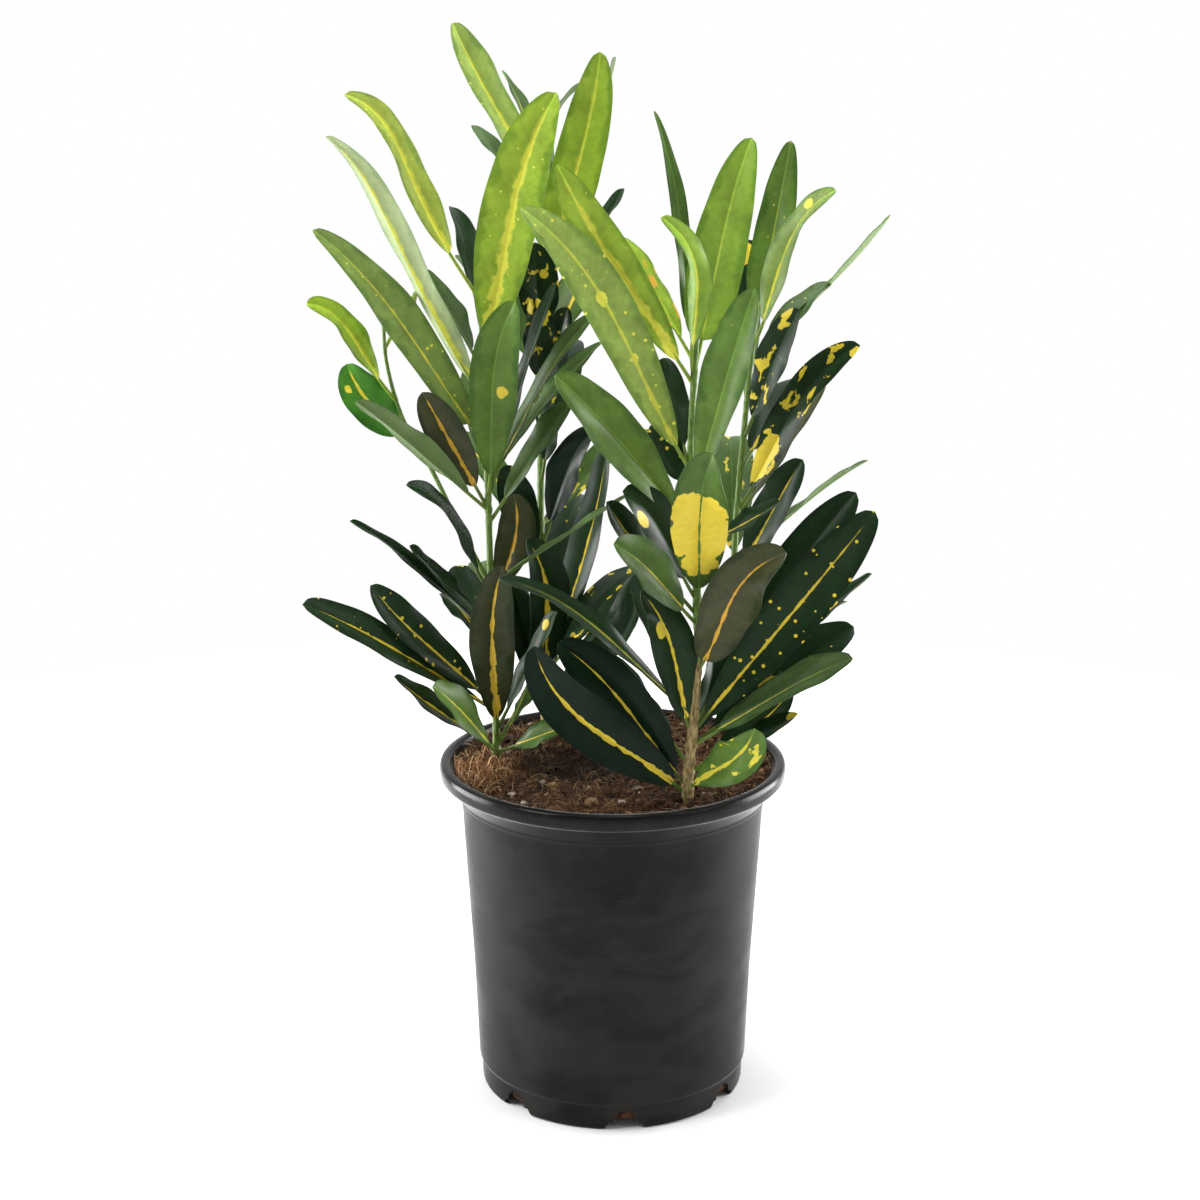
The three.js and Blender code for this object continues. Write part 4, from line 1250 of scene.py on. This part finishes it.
def make_stem(name, node, stem, leaves, material):
    """A stem with fissured bark low down, and a swelling where each leaf springs."""
    share = np.linspace(0, 1, STEM_RINGS)
    centres = np.array([stem_point(stem, s) for s in share])
    heights = centres[:, 2]
    foot_radius, top_radius = stem.radii
    radii = foot_radius + (top_radius - foot_radius) * share
    for leaf in leaves:
        radii = radii * (1 + SWELLING * np.exp(-(((heights - leaf.root) / SWELLING_HEIGHT) ** 2)))
    angles = np.arange(STEM_SIDES) * 2 * math.pi / STEM_SIDES
    bark = 1 - smooth_step(heights, *(stem.bark_top + off for off in BARK_FADE))
    relief = np.zeros((STEM_RINGS, STEM_SIDES))
    for i in range(STEM_RINGS):
        height = BARK_RIDGE_RATE * heights[i]
        for j in range(STEM_SIDES):
            spot = Vector((BARK_RIDGES * math.cos(angles[j]), BARK_RIDGES * math.sin(angles[j]), height))
            relief[i, j] = BARK_RELIEF * noise.noise(spot) * (GREEN_RELIEF_SHARE + bark[i])
    place = np.stack(np.broadcast_arrays(angles * BARK_WIDTH, heights[:, None], STEM_SEED), -1)
    parts = MeshParts()
    add_tube(
        parts, centres, radii, STEM_SIDES, WHOLE_CELL, relief=relief,
        place=place,
        bark=np.tile(bark[:, None], (1, STEM_SIDES)),
    )
    parts.build(name, material, "stem", node)


def make_shoot(node, stems, first_number, leaf_look, stem_look):
    """All leaves of a shoot as one piece, and each of its stems as one more."""
    across = math.ceil(math.sqrt(sum(len(leaves) for _, leaves in stems.values())))
    parts = MeshParts()
    count = 0
    for name, (stem, leaves) in stems.items():
        make_stem(name, node, stem, leaves, stem_look)
        for leaf in leaves:
            shape = LeafShape(leaf, stem, first_number + count)
            left, bottom, width, height = bake_cell(count, across, LEAF_SHARE)
            shape.add_blade(parts, (left, bottom, width * BLADE_SHARE, height))
            petiole_left = left + width * (1 - PETIOLE_SHARE)
            shape.add_petiole(parts, (petiole_left, bottom, width * PETIOLE_SHARE, height))
            count += 1
    parts.build(node + "_leaves", leaf_look, "leaves", node)


def make_plant():
    leaf_look = leaf_material()
    stem_look = stem_material()
    for order, (node, stems) in enumerate(SHOOTS.items()):
        make_shoot(node, stems, order * NUMBERS_PER_SHOOT, leaf_look, stem_look)


def make_floor():
    """A round white table: beyond it the white of the studio shows."""
    body = bmesh.new()
    bmesh.ops.create_circle(body, cap_ends=True, segments=FLOOR_SEGMENTS, radius=FLOOR_RADIUS)
    floor = object_of("studio_floor", body)
    floor.data.materials.append(floor_material())


def make_lamp(name, place, size, power):
    """A soft square lamp that looks at the plant's middle."""
    light = bpy.data.lights.new(name, "AREA")
    light.size = size
    light.energy = power
    lamp = bpy.data.objects.new(name, light)
    lamp.location = place
    lamp.rotation_euler = (LAMP_AIM - Vector(place)).to_track_quat("-Z", "Y").to_euler()
    lamp.visible_camera = False
    bpy.context.collection.objects.link(lamp)


def make_world():
    """White up to the horizon, as the floor is. Above it, darker in front of the plant than behind."""
    graph = Graph(bpy.data.worlds.new("studio"))
    direction = graph.split(graph.node("ShaderNodeTexCoord", {}).outputs["Generated"])
    above = graph.step(direction[2], 0.0, 0.9, 0.0, 0.1)
    behind = graph.step(direction[1], -0.1, 0.7, 0.17, 0.7)
    low = graph.step(direction[2], 0.1, 0.35, 1.0, 0.0)
    level = graph.math("MAXIMUM", graph.math("ADD", above, behind), low)
    backdrop = graph.tree.nodes["Background"]
    graph.plug(backdrop.inputs["Color"], (1, 1, 1, 1))
    graph.plug(backdrop.inputs["Strength"], level)
    bpy.context.scene.world = graph.owner


def make_studio():
    make_world()
    for name, (place, size, power) in LAMPS.items():
        make_lamp(name, place, size, power)
    make_floor()


def make_camera():
    """The photograph's camera, worked out from the pot's ellipses and height."""
    camera = bpy.data.cameras.new("camera")
    camera.sensor_width = CAMERA_SENSOR
    camera.lens = CAMERA_LENS
    holder = bpy.data.objects.new("camera", camera)
    holder.location = CAMERA_PLACE
    holder.rotation_euler = (math.radians(90 - CAMERA_DIP), 0, 0)
    bpy.context.collection.objects.link(holder)
    bpy.context.scene.camera = holder
    bpy.context.scene.view_settings.view_transform = "Standard"


make_pot()
make_soil()
make_fibres()
make_crumbs()
make_plant()
make_studio()
make_camera()

bpy.context.view_layer.update()
